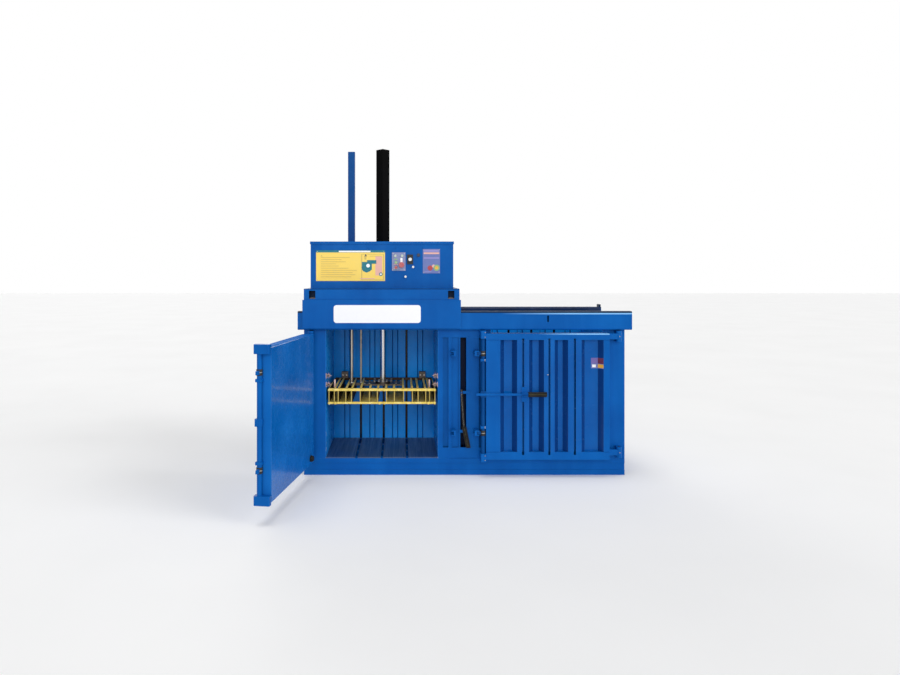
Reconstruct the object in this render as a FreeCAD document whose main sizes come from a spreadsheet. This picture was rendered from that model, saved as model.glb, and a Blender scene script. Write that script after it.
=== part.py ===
import FreeCAD, Part
import Sketcher
import os
import re

# Twin-bay recycling baler: two upright press bays side by side, a door in front of each,
# and one press head that rolls along two rails above them, parked here over the left bay.
# +X runs along the machine, +Y to its back, +Z up. The origin is on the floor, in the
# middle of the base, where the centre of the four anchor bolts lies.

doc = FreeCAD.newDocument("Baler")
sheet = doc.addObject("Spreadsheet::Sheet", "Dims")

SIZES = {
    # bays, pier and columns
    "bay_wide": 1100, "bay_deep": 800, "bay_tall": 1265, "pier_wide": 520, "column_wide": 215,
    "column_deep": 100, "back_deep": 100, "wall": 8, "strap_pitch": 250, "strap_wide": 24, "strap_deep": 40,
    "swage_half": 34, "swage_deep": 9, "swage_slope": 12,
    "swage_near": 125, "swage_far": 400, "bay_sheet": 5,
    # base
    "base_tall": 164, "base_deep": 90, "base_wall": 10, "base_lip_low": 49, "base_lip_high": 118,
    "base_groove": 5, "floor_plate": 12, "joist_wide": 70, "joist_near": 260, "joist_far": 520,
    "anchor_plate": 12, "anchor_half": 60, "anchor_x": 1440, "anchor_y": 300, "anchor_hole": 11,
    # rails
    "rail_tall": 182, "rail_deep": 90, "rail_set": 62, "rail_over": 50,
    "rail_wall": 8, "rail_round": 16, "rail_cap": 4, "tie_wide": 100,
    "tie_tall": 120, "stop_tall": 28, "stop_wide": 18, "index_wide": 17, "index_tall": 60,
    "index_drop": 43, "rib_tall": 80, "rib_deep": 150, "rib_pitch": 320, "rib_first": 420,
    "pier_face": 6, "pier_low": 270, "pier_under": 79,
    "fold_a_low": -210, "fold_a_high": -157, "fold_a_deep": 26,
    "fold_b_low": -124, "fold_b_high": -52, "fold_b_deep": 12,
    "fold_c_low": -39, "fold_c_high": 19, "fold_c_deep": 95,
    "fold_d_low": 144, "fold_d_high": 211, "fold_d_deep": 40,
    "back_beam_tall": 100, "back_beam_wall": 6,
    # doors and hinges
    "pin_side": 140, "pin_out": 60, "pin_radius": 14, "hinge_side": 106, "door_over": 94,
    "door_foot": 14, "door_clear": 32, "door_thick": 112, "free_stile": 132, "hinge_stile": 52,
    "top_rail": 61, "low_rail": 75, "door_skin": 6, "panel_sheet": 4, "recess_deep": 50,
    "slot_wide": 20, "slot_deep": 40, "slot_inset": 28, "recess_slope": 42, "panel_rim": 6,
    "recess_free": 168, "crest_free": 116, "recess_two": 144, "crest_two": 103,
    "recess_three": 130, "crest_three": 130, "stile_wall": 5, "door_cap": 4,
    "knuckle_radius": 27, "knuckle_tall": 56,
    "lug_tall": 24, "lug_wide": 46, "hinge_foot": 62, "hinge_head": 30, "fit_gap": 0.05,
    "face_gap": 1, "left_angle": 98.9, "door_edge": 3,
    # door locks
    "lock_off": 26, "lock_out": 31, "lock_radius": 20, "lock_under": 17, "lock_above": 28,
    "cam_foot": 241, "cam_drop": 208, "cam_tall": 30, "cam_long": 62, "cam_thick": 20,
    "bearing_tall": 24, "bearing_side": 52, "bearing_inset": 60, "end_tall": 76, "end_reach": 41,
    "lever_mid": 811, "hub_radius": 26, "end_round": 9,
    "hub_tall": 60, "lever_wide": 22, "lever_thick": 9, "lever_long": 600, "lever_tail": 70,
    "lever_gap": 8, "grip_start": 432, "grip_long": 180, "grip_wide": 46, "grip_thick": 20,
    "grip_round": 5, "hasp_start": 367, "hasp_wide": 57, "hasp_tall": 145, "hasp_thick": 6,
    "hasp_reach": 34, "keeper_plate": 8, "keeper_lip": 22,
    "keeper_gap": 2,
    "rack_thick": 8, "rack_x": -30, "rack_z": 812, "rack_low_z": 430, "rack_left": -50,
    "rack_right": 60, "rack_tall": 26, "peg_radius": 6, "spare_top": 840, "knee_x": -8,
    "knee_z": 500, "spare_end_x": -4, "spare_end_z": 478, "spare_tip_x": 38, "spare_tip_z": 270,
    # press head
    "skirt_over": 220, "skirt_sheet": 8, "skirt_gap": 12,
    "skirt_turn": 26, "tier_in": 13, "tier_sheet": 8, "tier_set": 10,
    "ledge_in": 68, "ledge_side": 80, "beam_far": 600,
    "beam_near": 130, "beam_right": 200, "bracket_gap": 3, "bracket_half": 48, "roller_rim": 9,
    "window_wide": 62, "roller_radius": 67,
    "roller_wide": 56, "roller_in": 81, "axle_radius": 15, "roller_gap": 0.3,
    "beam_wide": 60, "beam_tall": 100, "beam_wall": 6, "mount_plate": 20,
    "mount_left": 380, "mount_right": 229, "mount_deep": 200, "tray_plate": 5, "tray_right": 630,
    "cabinet_in": 65, "cabinet_front": 40, "cabinet_back": 860,
    "cabinet_sheet": 4, "lid_over": 6, "lid_lip": 26, "lid_sheet": 5,
    # cylinder, guide and trip rod
    "press_y": 400, "barrel_radius": 43, "bore_radius": 36, "barrel_drop": 10,
    "gland_tall": 52, "gland_lip": 10, "ram_radius": 30, "piston_tall": 36,
    "piston_gap": 0.05, "barrel_collar": 66, "collar_tall": 25, "guard_side": 97, "guard_wall": 3,
    "guard_peak": 8, "guide_x": 325, "guide_radius": 17.5, 
    "sleeve_side": 70, "sleeve_wall": 4, "sleeve_drop": 30, "sleeve_cap": 7, "bush_radius": 28,
    "bush_rim": 40, "bush_rim_tall": 8, "trip_x": 228, "trip_radius": 10,
    "trip_bush": 18, "trip_notch": 7,
    "trip_notch_z": 1250, "trip_notch_tall": 44, "grommet_radius": 22, "grommet_tall": 8,
    # platen
    "platen_gap": 22, "platen_low": 690, "platen_top": 842, "platen_front": 35,
    "platen_back": 770, "sole_thick": 19, "crown_thick": 24, "crown_deep": 26, "fin_thick": 10,
    "fin_centre": 40, "fin_inner": 118, "fin_strap": 209, "fin_outer": 296, "fin_mid": 352,
    "fin_near": 427, "fin_far": 465, "short_fin": 240, "hub_half": 95, "hub_plate": 16,
    "flange_radius": 78, "flange_thick": 18, "bolt_head": 11, "bolt_tall": 9, "bolt_ring": 58,
    "shoe_x": 420, "shoe_wide": 70, "shoe_tall": 70, "shoe_deep": 60,
    "post_radius": 9, "post_tall": 85, "post_in": 80, "gusset_deep": 120,
    "claw_low": 870, "claw_pitch": 85, "claw_wide": 34, "claw_deep": 16, "claw_in": 60,
    # plates and controls
    "name_wide": 845, "name_tall": 173, "name_off": 43, "plate_thick": 2,
    "guide_plate_wide": 681, "guide_plate_tall": 303, "guide_plate_drop": 390,
    "guide_plate_left": 651, "panel_wide": 134, "panel_tall": 181, "panel_drop": 289,
    "panel_left": 99, "plate_round": 28, "panel_thick": 6, "label_wide": 170,
    "label_tall": 241, "label_drop": 315,
    "label_left": 404, "button_radius": 14, "button_tall": 8, "button_pitch": 48,
    "button_side": 27, "button_low": 34, "lamp_side": 34,
    "button_travel": 4, "lamp_radius": 13, "lamp_tall": 10, "stop_radius": 27, "stop_rise": 24,
    "stem_radius": 5, "turn_gap": 0.3, "key_rise": 7, "knob_x": 278, "knob_drop": 177,
    "knob_plate_wide": 59, "knob_plate_tall": 96, "selector_radius": 17,
    "selector_rise": 16, "bezel_tall": 5, "lock_x": 361, "lock_drop": 135, "plug_x": 308,
    "plug_drop": 252, "low_x": 233, "low_drop": 348, "plug_radius": 9,
    # drive
    "tank_wide": 330, "tank_deep": 420, "tank_tall": 230, "tank_left": 270, "tank_gap": 20,
    "motor_radius": 85, "motor_tall": 190, "pump_tall": 60, "pump_radius": 60, "valve_side": 110,
    "valve_tall": 90,
    "box_wide": 320, "box_tall": 250, "box_deep": 150, "box_left": 60, "box_drop": 315,
}

# heights above the rails' underside of the head and of what it carries
RISES = {
    "skirt_low": 15, "skirt_top": 293, "tier_top": 401, "window_low": 304, "window_high": 382,
    "cabinet_top": 866, "barrel_low": 386, "piston_low": 846, "guard_top": 1833, "guide_top": 854,
    "bush_low": 366, "trip_top": 771, "name_low": 70,
}

TIED = {
    # the rails lie on the bays, and the doors fill the bays' height
    "rail_low": "base_tall + bay_tall", "pier_high": "rail_low - pier_under",
    "door_low": "base_tall + door_foot", "door_tall": "rail_low - door_clear - door_low",
    "lock_low": "door_low - lock_under", "lock_tall": "door_tall + lock_under + lock_above",
    "cam_low": "door_low + cam_foot", "cam_high": "door_low + door_tall - cam_drop",
    # the doors and their hinges follow the bays
    "pin_x": "pier_wide / 2 + bay_wide + pin_side", "door_wide": "bay_wide + door_over",
    "hinge_low": "door_low + hinge_foot", "hinge_pitch": "door_tall - hinge_foot - hinge_head",
    # the head and its platen follow the bays' width
    "skirt_half": "bay_wide / 2 + skirt_over", "tier_half": "skirt_half - tier_in",
    "cabinet_half": "skirt_half - cabinet_in", "roller_x": "tier_half - roller_in",
    "platen_half": "bay_wide / 2 - platen_gap",
    # the cylinder and the guide sleeve end just under the guard's top
    "barrel_top": "guard_top - barrel_drop", "sleeve_top": "guard_top - sleeve_drop",
    # what the cabinet carries hangs from its top
    "guide_plate_low": "cabinet_top - guide_plate_drop", "panel_low": "cabinet_top - panel_drop",
    "label_low": "cabinet_top - label_drop", "knob_z": "cabinet_top - knob_drop",
    "lock_z": "cabinet_top - lock_drop", "plug_z": "cabinet_top - plug_drop",
    "low_z": "cabinet_top - low_drop", "box_low": "cabinet_top - box_drop",
}
LIFTED = {word: f"rail_low + {word}_rise" for word in RISES}
CELLS = SIZES | {f"{word}_rise": rise for word, rise in RISES.items()}
CELLS |= {word: f"={text}" for word, text in (TIED | LIFTED).items()}

for row, (word, value) in enumerate(CELLS.items(), start=1):
    sheet.set(f"A{row}", word)
    sheet.set(f"B{row}", str(value))
    sheet.setAlias(f"B{row}", word)
doc.recompute()

WORD = re.compile(r"[a-z][a-z_]*")
parts = {}


def formula(text):
    """An expression in which each size's name points at its cell."""
    return WORD.sub(lambda word: f"Dims.{word[0]}" if word[0] in CELLS else word[0], str(text))


def bind(item, **formulas):
    """Ties properties to formulas; a double underscore stands for a dot."""
    for name, text in formulas.items():
        item.setExpression(name.replace("__", "."), formula(text))
    return item


def place(item, x="0", y="0", z="0"):
    return bind(item, Placement__Base__x=x, Placement__Base__y=y, Placement__Base__z=z)


def turn(item, axis, degrees):
    item.Placement = FreeCAD.Placement(FreeCAD.Vector(), FreeCAD.Rotation(FreeCAD.Vector(*axis), 0))
    return bind(item, Placement__Rotation__Angle=degrees)


def block(x, y, z):
    """A box between two formulas along each axis."""
    box = doc.addObject("Part::Box", "block")
    bind(box, Length=f"({x[1]}) - ({x[0]})", Width=f"({y[1]}) - ({y[0]})", Height=f"({z[1]}) - ({z[0]})")
    return place(box, x[0], y[0], z[0])


ALONG = {"x": (0, 1, 0), "y": (-1, 0, 0), "z": (0, 0, 1)}


def rod(axis, radius, start, end, x="0", y="0", z="0"):
    """A cylinder along an axis; the coordinate along that axis runs from start to end."""
    bar = doc.addObject("Part::Cylinder", "rod")
    turn(bar, ALONG[axis], 0 if axis == "z" else 90)
    bind(bar, Radius=radius, Height=f"({end}) - ({start})")
    ends = {"x": x, "y": y, "z": z, axis: start}
    return place(bar, ends["x"], ends["y"], ends["z"])


def cut(base, *tools):
    for tool in tools:
        piece = doc.addObject("Part::Cut", "cut")
        piece.Base = base
        piece.Tool = tool
        base = piece
    return base


def join(*pieces):
    whole = doc.addObject("Part::MultiFuse", "join")
    whole.Shapes = list(pieces)
    whole.Refine = True
    return whole


def group(*pieces):
    """Several solids of one kind that are not fused to each other."""
    whole = doc.addObject("Part::Compound", "group")
    whole.Links = list(pieces)
    return whole


def extrude(axis, outline, start, end):
    """A body padded from a closed outline: (y, z) along x, (x, z) along y, (x, y) along z."""
    body = doc.addObject("PartDesign::Body", "body")
    planes = {plane.Role: plane for plane in body.Origin.OriginFeatures}
    sketch = body.newObject("Sketcher::SketchObject", "outline")
    sketch.AttachmentSupport = [(planes["XY_Plane"], "")]
    sketch.MapMode = "FlatFace"
    count = len(outline)
    lines = [Part.LineSegment(FreeCAD.Vector(i, i * i, 0), FreeCAD.Vector(i + 1, (i + 1) ** 2, 0))
             for i in range(count)]
    sketch.addGeometry(lines, False)
    for i, corner in enumerate(outline):
        for way, text in zip(("DistanceX", "DistanceY"), corner):
            number = sketch.addConstraint(Sketcher.Constraint(way, -1, 1, i, 1, i + 0.5))
            sketch.setExpression(f"Constraints[{number}]", formula(text))
    for i in range(count):
        sketch.addConstraint(Sketcher.Constraint("Coincident", i, 2, (i + 1) % count, 1))
    pad = body.newObject("PartDesign::Pad", "pad")
    pad.Profile = sketch
    bind(pad, Length=f"({end}) - ({start})")
    if axis == "x":
        turn(body, (1, 1, 1), 120)
        return place(body, x=start)
    if axis == "y":
        turn(body, (1, 0, 0), 90)
        return place(body, y=end)
    return place(body, z=start)


def rounded(piece, axis, radius):
    """Rounds the outer edges that run along one axis."""
    doc.recompute()
    box = piece.Shape.BoundBox
    along = FreeCAD.Vector(*[float(letter == axis) for letter in "xyz"])
    sides = {"x": ("YMin", "YMax", "ZMin", "ZMax"), "y": ("XMin", "XMax", "ZMin", "ZMax"),
             "z": ("XMin", "XMax", "YMin", "YMax")}[axis]
    chosen = []
    for number, edge in enumerate(piece.Shape.Edges, start=1):
        run = edge.Vertexes[-1].Point - edge.Vertexes[0].Point
        if run.Length < 1 or abs(run.normalize().dot(along)) < 0.999:
            continue
        near = [side for side in sides
                if abs(getattr(edge.BoundBox, side) - getattr(box, side)) < 0.01]
        if len(near) == 2:
            chosen.append(number)
    soft = doc.addObject("Part::Fillet", "rounded")
    soft.Base = piece
    soft.Edges = [(number, size(radius), size(radius)) for number in chosen]
    return soft


def size(word):
    return float(sheet.get(word))


def node(name, piece):
    """Adds a piece to the sub-part of that name."""
    parts.setdefault(name, []).append(piece)


def mirrored(side, near, far):
    """A span along X given for the right-hand side, or its mirror on the left."""
    return (near, far) if side > 0 else (f"-({far})", f"-({near})")


FRONT = "(-(bay_deep + back_deep) / 2)"
BACK = "((bay_deep + back_deep) / 2)"
BAY_BACK = "((bay_deep - back_deep) / 2)"
PIER = "(pier_wide / 2)"
BAY_MID = "((pier_wide + bay_wide) / 2)"
BAY_END = "(pier_wide / 2 + bay_wide)"
END = "(pier_wide / 2 + bay_wide + column_wide)"
FLOOR = "(base_tall + floor_plate)"
SIDES = {"left": -1, "right": 1}


def grooved(x_low, x_high, y, sheet_thick, grooves):
    """The outline of a sheet that lies along X, folded back into grooves: (low, high, deep, slope)."""
    face = []
    back = []
    for low, high, deep, slope in grooves:
        turned = f"{sheet_thick} * tan(atan2({deep}; {slope}) / 2)"
        face += [(low, y), (f"{low} + {slope}", f"{y} + {deep}"),
                 (f"{high} - {slope}", f"{y} + {deep}"), (high, y)]
        rear = f"{y} + {sheet_thick}"
        back += [(f"{low} - {turned}", rear), (f"{low} + {slope} - {turned}", f"{rear} + {deep}"),
                 (f"{high} - {slope} + {turned}", f"{rear} + {deep}"), (f"{high} + {turned}", rear)]
    ends = [(x_high, y), (x_high, f"{y} + {sheet_thick}")]
    return [(x_low, y)] + face + ends + back[::-1] + [(x_low, f"{y} + {sheet_thick}")]


# ---------------------------------------------------------------- base


def channel(y, way, grooved_face):
    """A channel section along X, its web at y and its flanges reaching away from it."""
    def at(distance):
        return f"{y} + {way} * ({distance})"
    web = "base_groove" if grooved_face else "0"
    outline = [(at("0"), "0"), (at("base_deep"), "0"), (at("base_deep"), "base_wall"),
               (at(f"base_wall + {web}"), "base_wall"),
               (at(f"base_wall + {web}"), "base_tall - base_wall"),
               (at("base_deep"), "base_tall - base_wall"), (at("base_deep"), "base_tall"),
               (at("0"), "base_tall")]
    if grooved_face:
        outline += [(at("0"), "base_lip_high"), (at(web), "base_lip_high"),
                    (at(web), "base_lip_low"), (at("0"), "base_lip_low")]
    return outline


def base():
    node("base_frame", extrude("x", channel(FRONT, 1, True), f"-{END}", END))
    node("base_frame", extrude("x", channel(BACK, -1, False), f"-{END}", END))
    inner_y = (f"{FRONT} + base_deep", f"{BACK} - base_deep")
    ends = []
    for side in SIDES.values():
        x = mirrored(side, f"{END} - base_wall", END)
        low = mirrored(side, f"{END} - base_deep", f"{END} - base_wall")
        web = block(x, inner_y, ("0", "base_tall"))
        foot = block(low, inner_y, ("0", "base_wall"))
        ends.append(join(web, foot))
    node("base_frame", group(*ends))
    joists = []
    for step in ("joist_near", "joist_far"):
        y = f"{FRONT} + {step}"
        outline = [(y, "0"), (f"{y} + joist_wide", "0"), (f"{y} + joist_wide", "base_wall"),
                   (f"{y} + base_wall", "base_wall"), (f"{y} + base_wall", "base_tall - base_wall"),
                   (f"{y} + joist_wide", "base_tall - base_wall"),
                   (f"{y} + joist_wide", "base_tall"), (y, "base_tall")]
        joists.append(extrude("x", outline, f"-{END} + base_deep", f"{END} - base_deep"))
    node("base_frame", group(*joists))
    plates = []
    for x in ("-anchor_x", "anchor_x"):
        for y in ("-anchor_y", "anchor_y"):
            plate = block((f"{x} - anchor_half", f"{x} + anchor_half"),
                          (f"{y} - anchor_half", f"{y} + anchor_half"), ("0", "anchor_plate"))
            plates.append(cut(plate, rod("z", "anchor_hole", "-1", "anchor_plate + 1", x, y)))
    node("base_frame", group(*plates))


def floors():
    """Each bay's floor: four strips with a strap groove between each two."""
    for name, side in SIDES.items():
        mid = f"{side} * {BAY_MID}"
        edges = [f"{mid} - bay_wide / 2", f"{mid} + bay_wide / 2"]
        for offset in ("-strap_pitch", "0", "strap_pitch"):
            edges += [f"{mid} + {offset} - strap_wide / 2", f"{mid} + {offset} + strap_wide / 2"]
        edges = [edges[0]] + edges[2:] + [edges[1]]
        strips = [block((edges[i], edges[i + 1]), (FRONT, BAY_BACK), ("base_tall", FLOOR))
                  for i in range(0, len(edges), 2)]
        node("bay_floors", group(*strips))


# ---------------------------------------------------------------- walls


def bay_walls():
    for name, side in SIDES.items():
        mid = f"{side} * {BAY_MID}"
        straps = [(f"{mid} + {offset} - strap_wide / 2", f"{mid} + {offset} + strap_wide / 2",
                   "strap_deep", "0") for offset in ("-strap_pitch", "0", "strap_pitch")]
        swages = [(f"{mid} + {offset} - swage_half", f"{mid} + {offset} + swage_half",
                   "swage_deep", "swage_slope")
                  for offset in ("-swage_far", "-swage_near", "swage_near", "swage_far")]
        order = [swages[0], straps[0], swages[1], straps[1], swages[2], straps[2], swages[3]]
        outline = grooved(f"{mid} - bay_wide / 2", f"{mid} + bay_wide / 2", BAY_BACK, "bay_sheet", order)
        node("bay_back_walls", extrude("z", outline, "base_tall", "rail_low"))
        outer = block(mirrored(side, BAY_END, f"{BAY_END} + wall"), (FRONT, BAY_BACK),
                      ("base_tall", "rail_low"))
        inner = block(mirrored(side, f"{PIER} - wall", PIER), (FRONT, BAY_BACK),
                      ("base_tall", "rail_low"))
        node("bay_side_walls", outer)
        node("bay_side_walls", inner)


def tube(x, y, z, axis, wall):
    """A square-cornered tube, open along one axis."""
    spans = {"x": x, "y": y, "z": z}
    inner = {letter: (f"{low} - 1", f"{high} + 1") if letter == axis
             else (f"{low} + {wall}", f"{high} - {wall}") for letter, (low, high) in spans.items()}
    return cut(block(x, y, z), block(inner["x"], inner["y"], inner["z"]))


def columns():
    tall = ("base_tall", "rail_low")
    posts = []
    ribs = []
    for side in SIDES.values():
        x = mirrored(side, f"{BAY_END} + wall", END)
        for y in ((FRONT, f"{FRONT} + column_deep"), (f"{BACK} - column_deep", BACK)):
            posts.append(tube(x, y, tall, "z", "wall"))
        rib_x = mirrored(side, f"{BAY_END} + wall", f"{BAY_END} + rib_deep")
        for step in range(3):
            low = f"rib_first + {step} * rib_pitch"
            ribs.append(tube(rib_x, (f"{FRONT} + column_deep", f"{BACK} - column_deep"),
                             (low, f"{low} + rib_tall"), "y", "wall"))
    node("column_frame", group(*posts))
    node("column_frame", group(*ribs))
    beams = []
    for step in range(3):
        low = f"rib_first + {step} * rib_pitch"
        beams.append(tube((f"-{BAY_END} - wall", f"{BAY_END} + wall"),
                          (f"{BAY_BACK} + bay_sheet + strap_deep", BACK),
                          (low, f"{low} + back_beam_tall"), "x", "back_beam_wall"))
    node("column_frame", group(*beams))


def pier():
    """The pier's face is folded back into four grooves, numbered from the left."""
    x = (f"-{PIER} + wall", f"{PIER} - wall")
    face = (FRONT, f"{FRONT} + pier_face")
    grooves = [(f"fold_{order}_low", f"fold_{order}_high", f"fold_{order}_deep", "0")
               for order in ("a", "b", "c", "d")]
    outline = grooved(x[0], x[1], FRONT, "pier_face", grooves)
    node("pier_panels", extrude("z", outline, "pier_low", "pier_high"))
    node("pier_panels", group(block(x, face, ("base_tall", "pier_low")),
                              block(x, face, ("pier_high", "rail_low"))))
    node("pier_panels", block(x, (f"{BAY_BACK} - pier_face", BAY_BACK), ("base_tall", "rail_low")))


# ---------------------------------------------------------------- rails

RAIL_TOP = "(rail_low + rail_tall)"
RAIL_FRONT = f"({FRONT} - rail_set)"
RAIL_REAR = f"({FRONT} - rail_set + rail_deep)"


def rails():
    x = (f"-{END} - rail_over", f"{END} + rail_over")
    front = tube(x, (RAIL_FRONT, RAIL_REAR), ("rail_low", RAIL_TOP), "x", "rail_wall")
    index = block((f"{BAY_MID} - index_wide / 2", f"{BAY_MID} + index_wide / 2"),
                  (f"{RAIL_FRONT} - face_gap", f"{RAIL_FRONT} + rail_wall + face_gap"),
                  (f"{RAIL_TOP} - index_drop - index_tall", f"{RAIL_TOP} - index_drop"))
    node("front_rail", cut(rounded(front, "x", "rail_round"), index))
    rear_top = RAIL_TOP
    rear = tube((f"-{END}", END), (BAY_BACK, BACK), ("rail_low", rear_top), "x", "rail_wall")
    node("rear_rail", rounded(rear, "x", "rail_round"))
    caps = []
    for side in SIDES.values():
        cap = block(mirrored(side, f"{END} + rail_over", f"{END} + rail_over + rail_cap"),
                    (RAIL_FRONT, RAIL_REAR), ("rail_low", RAIL_TOP))
        caps.append(rounded(cap, "x", "rail_round"))
        cap = block(mirrored(side, END, f"{END} + rail_cap"), (BAY_BACK, BACK), ("rail_low", rear_top))
        caps.append(rounded(cap, "x", "rail_round"))
    node("front_rail", group(*caps))
    ties = []
    for side in SIDES.values():
        ties.append(tube(mirrored(side, f"{END} - tie_wide", END), (RAIL_REAR, BAY_BACK),
                         ("rail_low", "rail_low + tie_tall"), "y", "rail_wall"))
    ties.append(tube((f"-{PIER}", PIER), (RAIL_REAR, BAY_BACK),
                     ("rail_low", "rail_low + tie_tall"), "y", "rail_wall"))
    node("column_frame", group(*ties))
    stops = []
    for side in SIDES.values():
        stop_x = mirrored(side, f"{END} - stop_wide", END)
        stops.append(block(stop_x, (f"{BACK} - rail_deep", BACK), (rear_top, f"{rear_top} + stop_tall")))
    node("front_rail", group(*stops))


# ---------------------------------------------------------------- hinges, doors and locks

PIN_Y = f"({FRONT} - pin_out)"
DOOR_TOP = "(door_low + door_tall)"
OUTER = "(pin_out - face_gap - door_thick)"
INNER = "(pin_out - face_gap)"
FREE = "(hinge_side + door_wide)"
LOCK = "(hinge_side + door_wide + lock_off)"
HINGES = ["hinge_low", "(hinge_low + hinge_pitch)"]


def hinges():
    lugs = []
    pins = []
    for side in SIDES.values():
        x = f"{side} * pin_x"
        for middle in HINGES:
            for low in (f"{middle} + knuckle_tall / 2 + face_gap",
                        f"{middle} - knuckle_tall / 2 - face_gap - lug_tall"):
                high = f"{low} + lug_tall"
                arm = block((f"{x} - lug_wide / 2", f"{x} + lug_wide / 2"), (PIN_Y, FRONT), (low, high))
                barrel = rod("z", "knuckle_radius", low, high, x, PIN_Y)
                hole = rod("z", "pin_radius + fit_gap", f"{low} - 1", f"{high} + 1", x, PIN_Y)
                lugs.append(cut(join(arm, barrel), hole))
            reach = "(knuckle_tall / 2 + face_gap + lug_tall)"
            pins.append(rod("z", "pin_radius", f"{middle} - {reach}", f"{middle} + {reach}", x, PIN_Y))
    node("column_frame", group(*lugs))
    node("hinge_pins", group(*pins))


def hang(name, side, piece):
    """Names a piece of a door, drawn from its hinge pin, and swings it to where it rests."""
    hung = turn(group(piece), (0, 0, 1), "-left_angle" if side < 0 else "0")
    node(name, place(hung, f"{side} * pin_x", PIN_Y))


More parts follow.
